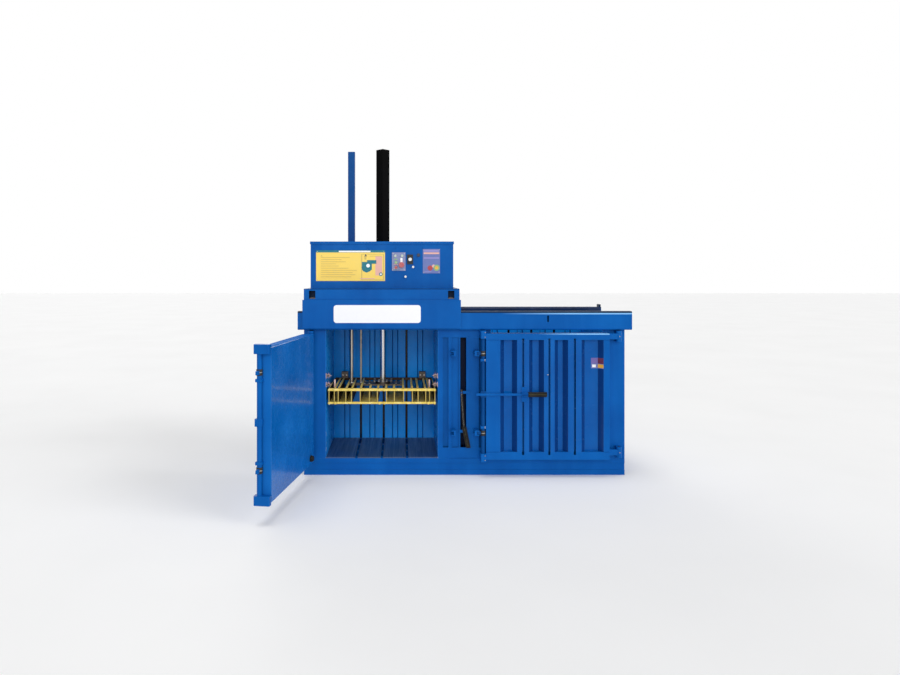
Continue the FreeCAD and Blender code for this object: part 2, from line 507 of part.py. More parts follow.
def door(name, side):
    def along(low, high):
        return mirrored(-side, low, high)

    def strap_slots(low, high):
        return [block(along(f"{at} - slot_wide / 2", f"{at} + slot_wide / 2"),
                      (f"{OUTER} - 1", f"{OUTER} + slot_deep"), (low, high)) for at in crests]

    edge = f"({FREE} - free_stile)"
    recesses = []
    crests = []
    for recess, crest in (("recess_free", "crest_free"), ("recess_two", "crest_two"),
                          ("recess_three", "crest_three")):
        recesses.append((f"{edge} - {recess}", edge))
        crests.append(f"({edge} - {recess} - {crest} / 2)")
        edge = f"({edge} - {recess} - {crest})"
    recesses.append(("hinge_side + hinge_stile", edge))
    recesses[0] = (recesses[0][0], f"{recesses[0][1]} - panel_rim")
    recesses[3] = (f"{recesses[3][0]} + panel_rim", recesses[3][1])
    folds = [(*along(low, high), "recess_deep", "recess_slope") for low, high in recesses]
    folds += [(*along(f"{at} - slot_wide / 2", f"{at} + slot_wide / 2"), "slot_deep", "0")
              for at in crests]
    order = [0, 4, 1, 5, 2, 6, 3]
    folds = [folds[i] for i in (order if side > 0 else order[::-1])]
    ends = along("hinge_side + hinge_stile", f"{FREE} - free_stile")
    outline = grooved(ends[0], ends[1], OUTER, "panel_sheet", folds)
    panel_z = ("door_low + low_rail", f"{DOOR_TOP} - top_rail")
    hang(f"{name}_door_panel", side, extrude("z", outline, *panel_z))

    y = (OUTER, f"{INNER} - door_skin")
    caps_z = ("door_low + door_cap", f"{DOOR_TOP} - door_cap")
    members = []
    for span in (along("hinge_side", "hinge_side + hinge_stile"), along(f"{FREE} - free_stile", FREE)):
        members.append(tube(span, y, caps_z, "z", "stile_wall"))
        for z in (("door_low", "door_low + door_cap"), (f"{DOOR_TOP} - door_cap", DOOR_TOP)):
            members.append(block(span, y, z))
    low_line, top_line = "(door_low + low_rail)", f"({DOOR_TOP} - top_rail)"
    low_slots = strap_slots(f"{low_line} - slot_inset", f"{low_line} + face_gap")
    top_slots = strap_slots(f"{top_line} - face_gap", f"{top_line} + slot_inset / 2")
    members.append(cut(tube(ends, y, ("door_low", low_line), "x", "stile_wall"), *low_slots))
    members.append(cut(tube(ends, y, (top_line, DOOR_TOP), "x", "stile_wall"), *top_slots))
    hang(f"{name}_door_frame", side, group(*members))
    hang(f"{name}_door_panel", side, block(along("hinge_side", FREE), (f"{INNER} - door_skin", INNER),
                                          ("door_low", DOOR_TOP)))

    knuckles = []
    for middle in HINGES:
        low, high = f"{middle} - knuckle_tall / 2", f"{middle} + knuckle_tall / 2"
        arm_y = ("-lug_wide / 2 + door_edge", "lug_wide / 2 - door_edge")
        arm = block(along("0", "hinge_side"), arm_y, (low, high))
        hole = rod("z", "pin_radius + fit_gap", f"{low} - 1", f"{high} + 1")
        knuckles.append(cut(join(arm, rod("z", "knuckle_radius", low, high)), hole))
    hang(f"{name}_door_fittings", side, group(*knuckles))

    lock_x = along(LOCK, LOCK)[0] if side < 0 else f"-{LOCK}"
    bearings = []
    for low in ("cam_low + bearing_inset", "cam_high - bearing_inset"):
        high = f"{low} + bearing_tall"
        shell = block(along(FREE, f"{FREE} + 2 * lock_off"),
                      ("-lock_out - bearing_side / 2", "-lock_out + bearing_side / 2"), (low, high))
        hole = rod("z", "lock_radius + fit_gap", f"{low} - 1", f"{high} + 1", lock_x, "-lock_out")
        bearings.append(cut(shell, hole))
    for low in ("lock_low", "lock_low + lock_tall - end_tall"):
        high = f"{low} + end_tall"
        shell = rounded(block(along(FREE, f"{FREE} + 2 * lock_off"),
                              ("-lock_out - end_reach", INNER), (low, high)), "z", "end_round")
        hole = rod("z", "lock_radius + fit_gap", f"{low} - 1", f"{high} + 1", lock_x, "-lock_out")
        bearings.append(cut(shell, hole))
    hang(f"{name}_door_fittings", side, group(*bearings))

    shaft = [rod("z", "lock_radius", "lock_low", "lock_low + lock_tall", lock_x, "-lock_out")]
    for low in ("cam_low", "cam_high"):
        shaft.append(block(along(LOCK, f"{LOCK} + cam_long"),
                           ("-lock_out - cam_thick / 2", "-lock_out + cam_thick / 2"),
                           (low, f"{low} + cam_tall")))
    hub_z = ("lever_mid - hub_tall / 2", "lever_mid + hub_tall / 2")
    lever_y = (f"{OUTER} - lever_gap - lever_thick", f"{OUTER} - lever_gap")
    shaft.append(rod("z", "hub_radius", *hub_z, lock_x, "-lock_out"))
    shaft.append(block(along(f"{LOCK} - hub_radius", f"{LOCK} + hub_radius"),
                       (lever_y[1], "-lock_out"), hub_z))
    lever_z = ("lever_mid - lever_wide / 2", "lever_mid + lever_wide / 2")
    hang(f"{name}_lock_rod", side, join(*shaft))
    if side > 0:
        bar = block(along(f"{LOCK} - lever_long", f"{LOCK} + lever_tail"), lever_y, lever_z)
        hang("lock_lever", side, bar)
        grip_x = along(f"{LOCK} - grip_start - grip_long", f"{LOCK} - grip_start")
        middle = f"({OUTER} - lever_gap - lever_thick / 2)"
        grip = block(grip_x, (f"{middle} - grip_thick / 2", f"{middle} + grip_thick / 2"),
                     ("lever_mid - grip_wide / 2", "lever_mid + grip_wide / 2"))
        hollow = block(along(f"{LOCK} - lever_long", f"{LOCK} - grip_start + 1"), lever_y, lever_z)
        hang("lock_grip", side, rounded(cut(grip, hollow), "x", "grip_round"))
    hasp_x = along(f"{LOCK} - hasp_start - hasp_wide", f"{LOCK} - hasp_start")
    foot = block(hasp_x, (f"{OUTER} - hasp_thick", OUTER),
                 ("lever_mid - hasp_tall / 2", "lever_mid + hasp_tall / 2"))
    slit = "(lever_wide / 2 + keeper_gap)"
    cheeks = [block(hasp_x, (f"{OUTER} - hasp_reach", f"{OUTER} - hasp_thick"), z) for z in
              ((f"lever_mid + {slit}", f"lever_mid + {slit} + hasp_thick"),
               (f"lever_mid - {slit} - hasp_thick", f"lever_mid - {slit}"))]
    hang(f"{name}_door_fittings", side, join(foot, *cheeks))


def keepers():
    """Brackets on the pier, one round each cam's tongue, with a lip in front of its tip."""
    brackets = []
    for side in SIDES.values():
        lock_x = f"pin_x - {LOCK}"
        tongue_y = f"({PIN_Y} - lock_out)"
        for low in ("cam_low", "cam_high"):
            x = mirrored(side, f"{lock_x} - cam_long - keeper_lip", f"{lock_x} - cam_long + keeper_lip")
            front_y = f"{tongue_y} - cam_thick / 2 - keeper_gap - keeper_plate"
            plates = [block(x, (front_y, FRONT), z) for z in
                      ((f"{low} - keeper_gap - keeper_plate", f"{low} - keeper_gap"),
                       (f"{low} + cam_tall + keeper_gap", f"{low} + cam_tall + keeper_gap + keeper_plate"))]
            lip_x = mirrored(side, f"{lock_x} - cam_long - keeper_lip", f"{lock_x} - cam_long - face_gap")
            lip = block(lip_x, (front_y, f"{front_y} + keeper_plate"),
                        (f"{low} - keeper_gap", f"{low} + cam_tall + keeper_gap"))
            brackets.append(join(*plates, lip))
    node("bay_fittings", group(*brackets))


def spare_lever():
    """The left door's lever, taken off and hung on a rack in front of the pier."""
    rack_y = (f"{FRONT} - rack_thick", FRONT)
    lever_y = (f"{FRONT} - rack_thick - lever_thick", f"{FRONT} - rack_thick")
    half = "lever_wide / 2"
    outline = [(f"rack_x - {half}", "spare_top"), (f"knee_x - {half}", "knee_z"),
               (f"spare_end_x - {half}", "spare_end_z"), (f"spare_end_x + {half}", "spare_end_z"),
               (f"knee_x + {half}", "knee_z"), (f"rack_x + {half}", "spare_top")]
    peg = rod("y", "peg_radius + fit_gap", f"{lever_y[0]} - 1", f"{lever_y[1]} + 1", "rack_x", z="rack_z")
    node("spare_lever", cut(extrude("y", outline, *lever_y), peg))
    half = "grip_wide / 2"
    grip = [(f"spare_end_x - {half}", "spare_end_z"), (f"spare_tip_x - {half}", "spare_tip_z"),
            (f"spare_tip_x + {half}", "spare_tip_z"), (f"spare_end_x + {half}", "spare_end_z")]
    node("spare_grip", extrude("y", grip, f"{lever_y[0]} - rack_thick / 2", lever_y[1]))
    straps = [block(("rack_left", "rack_right"), rack_y, (z, f"{z} + rack_tall")) for z in
              ("rack_z - rack_tall / 2", "rack_low_z - rack_tall / 2")]
    stud = rod("y", "peg_radius", f"{lever_y[0]} - rack_thick", rack_y[0], "rack_x", z="rack_z")
    node("bay_fittings", group(join(straps[0], stud), straps[1]))


# ---------------------------------------------------------------- press head

HEAD = f"(-{BAY_MID})"
SKIRT_FRONT = f"({RAIL_FRONT} - skirt_gap - skirt_sheet)"
SKIRT_REAR = f"({BACK} + skirt_gap + skirt_sheet)"
TIER_FRONT = f"({SKIRT_FRONT} + tier_set)"
TIER_REAR = f"({SKIRT_REAR} - tier_set)"
CABINET_FRONT = f"({FRONT} + cabinet_front)"
CABINET_REAR = f"({FRONT} + cabinet_back)"
AXLE_Z = f"({RAIL_TOP} + roller_radius + roller_gap)"
PRESS_Y = f"({FRONT} + press_y)"
BEAM_TOP = "(tier_top + beam_tall)"


def head_x(low, high):
    return (f"{HEAD} + ({low})", f"{HEAD} + ({high})")


def skirts():
    for name, face, way in (("front", SKIRT_FRONT, 1), ("rear", SKIRT_REAR, -1)):
        def at(distance):
            return f"{face} + {way} * ({distance})"
        outline = [(at("0"), "skirt_low"), (at("skirt_sheet"), "skirt_low"),
                   (at("skirt_sheet"), "skirt_top - skirt_sheet"),
                   (at("skirt_sheet + skirt_turn"), "skirt_top - skirt_sheet"),
                   (at("skirt_sheet + skirt_turn"), "skirt_top"), (at("0"), "skirt_top")]
        node("head_skirts", extrude("x", outline, *head_x("-skirt_half", "skirt_half")))


def tier():
    """The low frame that carries the cabinet and the cylinder between the four rollers."""
    wall_z = ("skirt_top", "tier_top - tier_sheet")
    for name, face, way in (("front", TIER_FRONT, 1), ("rear", TIER_REAR, -1)):
        y = (face, f"{face} + tier_sheet") if way > 0 else (f"{face} - tier_sheet", face)
        plate = block(head_x("-tier_half", "tier_half"), y, wall_z)
        windows = [block(head_x(f"{side} * roller_x - window_wide / 2",
                                f"{side} * roller_x + window_wide / 2"),
                         (f"{y[0]} - 1", f"{y[1]} + 1"), ("window_low", "window_high"))
                   for side in SIDES.values()]
        node("head_tier", cut(plate, *windows))
    ends = [block(head_x(*mirrored(side, "tier_half - tier_sheet", "tier_half")),
                  (f"{TIER_FRONT} + tier_sheet", f"{TIER_REAR} - tier_sheet"), wall_z)
            for side in SIDES.values()]
    node("head_tier", group(*ends))
    ledge_z = ("tier_top - tier_sheet", "tier_top")
    ledges = [block(head_x("-tier_half", "tier_half"), (TIER_FRONT, f"{FRONT} + ledge_in"), ledge_z),
              block(head_x("-tier_half", "tier_half"), (f"{BACK} - ledge_in", TIER_REAR), ledge_z)]
    for side in SIDES.values():
        ledges.append(block(head_x(*mirrored(side, "tier_half - ledge_side", "tier_half")),
                            (f"{FRONT} + ledge_in", f"{BACK} - ledge_in"), ledge_z))
    node("head_beams", group(*ledges))
    beams = [tube(head_x(f"{x} - beam_wide / 2", f"{x} + beam_wide / 2"),
                  (f"{CABINET_FRONT} + cabinet_sheet", f"{CABINET_REAR} - cabinet_sheet"),
                  ("tier_top", BEAM_TOP), "y", "beam_wall")
             for x in ("-beam_far", "-beam_near", "beam_right", "beam_far")]
    node("head_beams", group(*beams))


FRONT_ROLLER = f"({RAIL_FRONT} + rail_deep / 2)"
REAR_ROLLER = f"({BAY_BACK} + back_deep / 2)"


def rollers():
    brackets = []
    axles = []
    for side, x_name in ((-1, "left"), (1, "right")):
        x = f"{HEAD} + {side} * roller_x"
        for way, mid, y_name in ((1, FRONT_ROLLER, "front"), (-1, REAR_ROLLER, "rear")):
            low, high = f"{mid} - roller_wide / 2", f"{mid} + roller_wide / 2"
            wheel = rod("y", "roller_radius", low, high, x, z=AXLE_Z)
            bore = rod("y", "axle_radius + fit_gap", f"{low} - 1", f"{high} + 1", x, z=AXLE_Z)
            groove_y = (f"{mid} - roller_rim", f"{mid} + roller_rim")
            groove = cut(rod("y", "roller_radius + 1", *groove_y, x, z=AXLE_Z),
                         rod("y", "roller_radius - roller_rim / 2", *groove_y, x, z=AXLE_Z))
            node(f"{y_name}_{x_name}_roller", cut(wheel, bore, groove))
            gap = f"(roller_wide / 2 + bracket_gap)"
            plate_y = (f"{mid} + {gap}", f"{mid} + {gap} + tier_sheet") if way > 0 else (
                f"{mid} - {gap} - tier_sheet", f"{mid} - {gap}")
            plate = block((f"{x} - bracket_half", f"{x} + bracket_half"), plate_y,
                          (f"{AXLE_Z} - bracket_half", "tier_top - tier_sheet"))
            ends = (f"{SKIRT_FRONT} + skirt_sheet", plate_y[1]) if way > 0 else (
                plate_y[0], f"{SKIRT_REAR} - skirt_sheet")
            hole = rod("y", "axle_radius + fit_gap", f"{plate_y[0]} - 1", f"{plate_y[1]} + 1",
                       x, z=AXLE_Z)
            brackets.append(cut(plate, hole))
            axles.append(rod("y", "axle_radius", *ends, x, z=AXLE_Z))
    node("head_tier", group(*brackets))
    node("roller_axles", group(*axles))


def cabinet():
    z = ("tier_top", "cabinet_top - lid_sheet")
    x = head_x("-cabinet_half", "cabinet_half")
    front = block(x, (CABINET_FRONT, f"{CABINET_FRONT} + cabinet_sheet"), z)
    holes = [stem_hole(place_x, place_z) for place_x, place_z, *rest in STEMS.values()]
    node("cabinet_walls", cut(front, *holes))
    node("cabinet_walls", block(x, (f"{CABINET_REAR} - cabinet_sheet", CABINET_REAR), z))
    for side in SIDES.values():
        node("cabinet_walls", block(head_x(*mirrored(side, "cabinet_half - cabinet_sheet", "cabinet_half")),
                                      (f"{CABINET_FRONT} + cabinet_sheet", f"{CABINET_REAR} - cabinet_sheet"), z))
    over = "(cabinet_half + lid_over)"
    top_z = ("cabinet_top - lid_sheet", "cabinet_top")
    over_y = (f"{CABINET_FRONT} - lid_over", f"{CABINET_REAR} + lid_over")
    lid = block(head_x(f"-{over}", over), over_y, top_z)
    low, high = "cabinet_top - lid_sheet - 1", "cabinet_top + 1"
    guard = turned_square("guard_side", low, high, HEAD)
    half = "sleeve_side / 2"
    sleeve = block(head_x(f"-guide_x - {half}", f"-guide_x + {half}"),
                   (f"{PRESS_Y} - {half}", f"{PRESS_Y} + {half}"),
                   (low, high))
    trip = rod("z", "grommet_radius", low, high, f"{HEAD} - trip_x", PRESS_Y)
    node("cabinet_lid", cut(lid, guard, sleeve, trip))
    lip_z = ("cabinet_top - lid_lip", "cabinet_top - lid_sheet")
    rim = cut(block(head_x(f"-{over}", over), over_y, lip_z),
              block(x, (CABINET_FRONT, CABINET_REAR), (f"{lip_z[0]} - 1", f"{lip_z[1]} + 1")))
    node("cabinet_lid", rim)
    ring_z = ("cabinet_top - lid_sheet", "cabinet_top + grommet_tall")
    ring = cut(rod("z", "grommet_radius", *ring_z, f"{HEAD} - trip_x", PRESS_Y),
               rod("z", "trip_radius + 1", f"{ring_z[0]} - 1", f"{ring_z[1]} + 1",
                   f"{HEAD} - trip_x", PRESS_Y))
    node("rod_bushes", ring)


def turned_square(side, low, high, x):
    """An upright square bar set corner-on to the front."""
    bar = doc.addObject("Part::Box", "bar")
    bar.Placement = FreeCAD.Placement(FreeCAD.Vector(), FreeCAD.Rotation(FreeCAD.Vector(0, 0, 1), 45))
    bind(bar, Length=side, Width=side, Height=f"({high}) - ({low})")
    return place(bar, x, f"{PRESS_Y} - {side} / sqrt(2)", low)


def cylinder():
    mount_y = (f"{PRESS_Y} - mount_deep / 2", f"{PRESS_Y} + mount_deep / 2")
    mount_z = (BEAM_TOP, f"{BEAM_TOP} + mount_plate")
    plate = block(head_x("-mount_left", "mount_right"), mount_y, mount_z)
    cuts = [rod("z", radius, f"{mount_z[0]} - 1", f"{mount_z[1]} + 1", f"{HEAD} - {x}", PRESS_Y)
            for radius, x in (("barrel_radius", "0"), ("bush_radius", "guide_x"), ("trip_bush", "trip_x"))]
    node("head_beams", cut(plate, *cuts))
    gland_top = "(barrel_low + gland_tall)"
    barrel = cut(rod("z", "barrel_radius", f"barrel_low + gland_lip", "barrel_top", HEAD, PRESS_Y),
                 rod("z", "bore_radius", "barrel_low", "barrel_top + 1", HEAD, PRESS_Y))
    node("cylinder_barrel", barrel)
    collar = cut(rod("z", "barrel_collar", mount_z[1], f"{mount_z[1]} + collar_tall", HEAD, PRESS_Y),
                 rod("z", "barrel_radius", f"{mount_z[1]} - 1", f"{mount_z[1]} + collar_tall + 1", HEAD, PRESS_Y))
    node("cylinder_barrel", collar)
    gland = join(rod("z", "barrel_radius", "barrel_low", "barrel_low + gland_lip", HEAD, PRESS_Y),
                 rod("z", "bore_radius", "barrel_low", gland_top, HEAD, PRESS_Y))
    node("cylinder_gland", cut(gland, rod("z", "ram_radius + fit_gap", "barrel_low - 1", f"{gland_top} + 1",
                                          HEAD, PRESS_Y)))
    node("cylinder_barrel", rod("z", "barrel_radius", "barrel_top", "guard_top", HEAD, PRESS_Y))
    low = f"{mount_z[1]} + collar_tall"
    node("cylinder_guard", cut(turned_square("guard_side", low, "guard_top", HEAD),
                               turned_square("(guard_side - 2 * guard_wall)", f"{low} - 1",
                                             "guard_top + 1", HEAD)))
    peak = doc.addObject("Part::Cone", "peak")
    turn(peak, (0, 0, 1), 0)
    bind(peak, Radius1="guard_side / 2", Radius2="guard_side / 10", Height="guard_peak")
    place(peak, HEAD, PRESS_Y, "guard_top")
    node("cylinder_guard", peak)


def guides():
    mount_top = f"({BEAM_TOP} + mount_plate)"
    x = f"{HEAD} - guide_x"
    bush = join(rod("z", "bush_radius", "bush_low", mount_top, x, PRESS_Y),
                rod("z", "bush_rim", f"{BEAM_TOP} - bush_rim_tall", BEAM_TOP, x, PRESS_Y))
    bore = rod("z", "guide_radius + fit_gap", "bush_low - 1", f"{mount_top} + 1", x, PRESS_Y)
    node("rod_bushes", cut(bush, bore))
    half = "sleeve_side / 2"
    sleeve_x = (f"{x} - {half}", f"{x} + {half}")
    sleeve_y = (f"{PRESS_Y} - {half}", f"{PRESS_Y} + {half}")
    node("guide_sleeve", tube(sleeve_x, sleeve_y, (mount_top, "sleeve_top"), "z", "sleeve_wall"))
    node("guide_sleeve", block(sleeve_x, sleeve_y, ("sleeve_top", "sleeve_top + sleeve_cap")))
    x = f"{HEAD} - trip_x"
    node("rod_bushes", cut(rod("z", "trip_bush", "bush_low", mount_top, x, PRESS_Y),
                          rod("z", "trip_radius + fit_gap", "bush_low - 1", f"{mount_top} + 1", x, PRESS_Y)))
    node("guide_rods", rod("z", "guide_radius", "platen_top", "guide_top", f"{HEAD} - guide_x", PRESS_Y))
    notch_z = ("trip_notch_z", "trip_notch_z + trip_notch_tall")
    notch = cut(rod("z", "trip_radius + 1", *notch_z, x, PRESS_Y),
                rod("z", "trip_notch", *notch_z, x, PRESS_Y))
    node("guide_rods", cut(rod("z", "trip_radius", "platen_top", "trip_top", x, PRESS_Y), notch))


# ---------------------------------------------------------------- ram and platen


def ram():
    node("ram_rod", rod("z", "ram_radius", "platen_top + flange_thick", "piston_low", HEAD, PRESS_Y))
    node("ram_piston", rod("z", "bore_radius - piston_gap", "piston_low", "piston_low + piston_tall",
                           HEAD, PRESS_Y))
    node("platen_hub", rod("z", "flange_radius", "platen_top", "platen_top + flange_thick",
                           HEAD, PRESS_Y))
    heads = []
    for x_way in (-1, 1):
        for y_way in (-1, 1):
            top = "(platen_top + flange_thick)"
            heads.append(rod("z", "bolt_head", top, f"{top} + bolt_tall",
                             f"{HEAD} + {x_way} * bolt_ring / sqrt(2)",
                             f"{PRESS_Y} + {y_way} * bolt_ring / sqrt(2)"))
    node("ram_bolts", group(*heads))


def platen():
    y = (f"{FRONT} + platen_front", f"{FRONT} + platen_back")
    sole_top = "(platen_low + sole_thick)"
    crown_low = "(platen_top - crown_thick)"
    soles = []
    for side in SIDES.values():
        for low, high in (("fin_centre", "fin_strap + fin_thick"), ("fin_outer", "platen_half")):
            soles.append(block(head_x(*mirrored(side, low, high)), (f"{y[0]} + crown_deep", y[1]),
                               ("platen_low", sole_top)))
    node("platen_frame", group(*soles))
    node("platen_frame", block(head_x("-platen_half", "platen_half"), (y[0], f"{y[0]} + crown_deep"),
                               ("platen_low", sole_top)))
    crowns = [block(head_x("-platen_half", "platen_half"), span, (crown_low, "platen_top"))
              for span in ((y[0], f"{y[0]} + crown_deep"), (f"{y[1]} - crown_deep", y[1]))]
    node("platen_frame", group(*crowns))
    long_fin = [(y[0], sole_top), (y[1], sole_top), (y[1], crown_low), (f"{y[1]} - crown_deep", crown_low),
                (f"{y[1]} - crown_deep", "platen_top"), (f"{y[0]} + crown_deep", "platen_top"),
                (f"{y[0]} + crown_deep", crown_low), (y[0], crown_low)]
    gusset = [(y[0], sole_top), (f"{y[0]} + gusset_deep", sole_top), (f"{y[0]} + gusset_deep", "platen_top"),
              (f"{y[0]} + crown_deep", "platen_top"), (f"{y[0]} + crown_deep", crown_low), (y[0], crown_low)]
    fins = []
    gussets = []
    short_fins = []
    for side in SIDES.values():
        for x in ("fin_strap", "fin_outer", "fin_mid", "fin_near", "platen_half - fin_thick"):
            fins.append(extrude("x", long_fin, *head_x(*mirrored(side, x, f"{x} + fin_thick"))))
        gussets.append(extrude("x", gusset, *head_x(*mirrored(side, "fin_far", "fin_far + fin_thick"))))
        for x in ("fin_centre", "fin_inner"):
            short_fins.append(block(head_x(*mirrored(side, x, f"{x} + fin_thick")),
                                    (f"{PRESS_Y} - short_fin / 2", f"{PRESS_Y} + short_fin / 2"),
                                    (sole_top, "platen_top - hub_plate")))
            gussets.append(block(head_x(*mirrored(side, x, f"{x} + fin_thick")),
                                 (y[0], f"{y[0]} + crown_deep"), (sole_top, crown_low)))
    node("platen_fins", group(*fins))
    node("platen_fins", group(*gussets))
    node("platen_fins", group(*short_fins))
    node("platen_hub", block(head_x("-fin_strap", "fin_strap"),
                             (f"{PRESS_Y} - hub_half", f"{PRESS_Y} + hub_half"),
                             ("platen_top - hub_plate", "platen_top")))
    feet = []
    foot_y = (f"{PRESS_Y} - shoe_deep / 2", f"{PRESS_Y} + shoe_deep / 2")
    for x_low, x_high in (("-fin_mid", "-fin_outer - fin_thick"),
                          ("-fin_outer", "-fin_strap - fin_thick")):
        feet.append(block(head_x(x_low, x_high), foot_y,
                          ("platen_top - crown_thick", "platen_top")))
    node("platen_fittings", group(*feet))
    shoes = []
    posts = []
    for side in SIDES.values():
        shoes.append(block(head_x(*mirrored(side, "shoe_x - shoe_wide / 2", "shoe_x + shoe_wide / 2")),
                           (f"{y[1]} - shoe_deep", y[1]), ("platen_top", "platen_top + shoe_tall")))
        posts.append(rod("z", "post_radius", "platen_top", "platen_top + post_tall",
                         f"{HEAD} + {side} * (fin_far + fin_thick / 2)", f"{FRONT} + post_in"))
    node("platen_fittings", group(*shoes))
    node("platen_fittings", group(*posts))


# ---------------------------------------------------------------- plates and controls


PANEL_MID = "(panel_left + panel_wide / 2)"
PUSH = "(button_travel + face_gap)"
STEMS = {
    "start_button": (f"{PANEL_MID} - button_side", "panel_low + button_low + button_pitch",
                     "button_radius", "button_tall", "panel_thick", PUSH),
    "return_button": (f"{PANEL_MID} - button_side", "panel_low + button_low",
                      "button_radius", "button_tall", "panel_thick", PUSH),
    "stop_button": (f"{PANEL_MID} + button_side", "panel_low + button_low + button_pitch / 2",
                    "stop_radius", "stop_rise", "panel_thick", PUSH),
    "mode_knob": ("knob_x", "knob_z", "selector_radius", "selector_rise", "bezel_tall", "turn_gap"),
    "key_lock": ("lock_x", "lock_z", "selector_radius", "key_rise", "0", "turn_gap"),
}


def stem_hole(x, z):
    """Cuts a running fit for a button's stem through the panel and the cabinet's front."""
    return rod("y", "stem_radius + fit_gap", f"{CABINET_FRONT} - 2 * panel_thick",
               f"{CABINET_FRONT} + 2 * cabinet_sheet", f"{HEAD} + {x}", z=z)


def front_disc(radius, rise, x, z, base="0"):
    """A round piece standing out of the cabinet's front by its rise."""
    face = f"({CABINET_FRONT} - {base})"
    return rod("y", radius, f"{face} - {rise}", face, f"{HEAD} + {x}", z=z)


def plates():
    half = "name_wide / 2"
    name = block(head_x(f"-name_off - {half}", f"-name_off + {half}"),
                 (f"{SKIRT_FRONT} - plate_thick", SKIRT_FRONT), ("name_low", "name_low + name_tall"))
    node("name_plate", rounded(name, "y", "plate_round"))
    cabinet_y = (f"{CABINET_FRONT} - plate_thick", CABINET_FRONT)
    node("guide_plate", block(head_x("-guide_plate_left", "guide_plate_wide - guide_plate_left"),
                              cabinet_y,
                              ("guide_plate_low", "guide_plate_low + guide_plate_tall")))
    node("side_label", block(head_x("label_left", "label_left + label_wide"), cabinet_y,
                             ("label_low", "label_low + label_tall")))


def controls():
    panel_x = head_x("panel_left", "panel_left + panel_wide")
    panel = block(panel_x, (f"{CABINET_FRONT} - panel_thick", CABINET_FRONT),
                  ("panel_low", "panel_low + panel_tall"))
    for name, (x, z, radius, rise, base, gap) in STEMS.items():
        cap = front_disc(radius, rise, x, z, f"({base} + {gap})")
        stem = rod("y", "stem_radius", f"{CABINET_FRONT} - {base} - {gap}",
                   f"{CABINET_FRONT} + 2 * cabinet_sheet", f"{HEAD} + {x}", z=z)
        node(name, join(cap, stem))
        if base == "panel_thick":
            panel = cut(panel, stem_hole(x, z))
    node("control_panel", panel)
    lamps = [front_disc("lamp_radius", "lamp_tall", f"{PANEL_MID} + {way} * lamp_side",
                        "panel_low + panel_tall - lamp_side", "panel_thick") for way in (-1, 1)]
    node("panel_lamps", group(*lamps))
    knob_plate = block(head_x("knob_x - knob_plate_wide / 2", "knob_x + knob_plate_wide / 2"),
                       (f"{CABINET_FRONT} - bezel_tall", CABINET_FRONT),
                       ("knob_z - knob_plate_tall / 2", "knob_z + knob_plate_tall / 2"))
    node("front_fittings", cut(knob_plate, stem_hole("knob_x", "knob_z")))
    node("front_fittings", front_disc("plug_radius", "bezel_tall", "plug_x", "plug_z"))
    node("front_fittings", front_disc("plug_radius", "bezel_tall", "low_x", "low_z"))


# ---------------------------------------------------------------- drive


def drive():
    tray_z = (BEAM_TOP, f"{BEAM_TOP} + tray_plate")
    tray_y = (f"{CABINET_FRONT} + cabinet_sheet", f"{CABINET_REAR} - cabinet_sheet")
    node("head_beams", block(head_x("mount_right + 1", "tray_right"), tray_y, tray_z))
    tank_x = head_x("tank_left", "tank_left + tank_wide")
    tank_y = (f"{tray_y[1]} - tank_gap - tank_deep", f"{tray_y[1]} - tank_gap")
    node("oil_tank", block(tank_x, tank_y, (tray_z[1], f"{tray_z[1]} + tank_tall")))
    tank_top = f"({tray_z[1]} + tank_tall)"
    x = f"{HEAD} + tank_left + tank_wide / 2"
    motor_z = f"{tray_z[1]} + motor_radius"
    pump_y = f"{tank_y[0]} - pump_tall"
    node("motor_pump", rod("y", "pump_radius", pump_y, tank_y[0], x, z=motor_z))
    node("motor_pump", rod("y", "motor_radius", f"{pump_y} - motor_tall", pump_y, x, z=motor_z))
    node("valve_block", block((f"{x} - valve_side / 2", f"{x} + valve_side / 2"),
                              (f"{tank_y[0]} + tank_gap", f"{tank_y[0]} + tank_gap + valve_side"),
                              (tank_top, f"{tank_top} + valve_tall")))
    box_y = f"{CABINET_FRONT} + cabinet_sheet"
    node("electrical_box", block(head_x("-box_left - box_wide - mount_left / 2",
                                        "-box_left - mount_left / 2"), (box_y, f"{box_y} + box_deep"),
                                 ("box_low", "box_low + box_tall")))


def retainers():
    """Small spring claws on the bay walls that hold the pressed bale down."""
    claws = []
    for side in SIDES.values():
        for way in (-1, 1):
            wall_x = f"({side} * {BAY_MID} + {way} * bay_wide / 2)"
            x = (f"{wall_x} - claw_deep", wall_x) if way > 0 else (wall_x, f"{wall_x} + claw_deep")
            for step in range(2):
                low = f"claw_low + {step} * claw_pitch"
                claws.append(block(x, (f"{FRONT} + claw_in", f"{FRONT} + claw_in + claw_wide"),
                                   (low, f"{low} + claw_wide")))
    node("bay_fittings", group(*claws))


# ---------------------------------------------------------------- build and write

base()
floors()
bay_walls()
columns()
pier()
rails()
hinges()
for door_name, door_side in SIDES.items():
    door(door_name, door_side)
keepers()
spare_lever()
skirts()
tier()
rollers()
cabinet()
cylinder()
guides()
ram()
platen()
plates()
controls()
drive()
retainers()
for label, pieces in parts.items():
    whole = pieces[0] if len(pieces) == 1 else group(*pieces)
    whole.Label = label
    parts[label] = whole
doc.recompute()

failed = [item.Label for item in doc.Objects if {"Invalid", "Error"} & set(item.State)]
if failed:
    raise SystemExit(f"these objects failed: {failed}")
for label, part in parts.items():
    if part.Shape.isNull() or not part.Shape.isValid():
        raise SystemExit(f"{label} has no valid shape")
os.makedirs("parts", exist_ok=True)
for label, part in parts.items():
    part.Shape.exportStep(f"parts/{label}.step")
print(len(parts), "sub-parts")
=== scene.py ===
import math

import bmesh
import bpy
from mathutils import Matrix, Vector

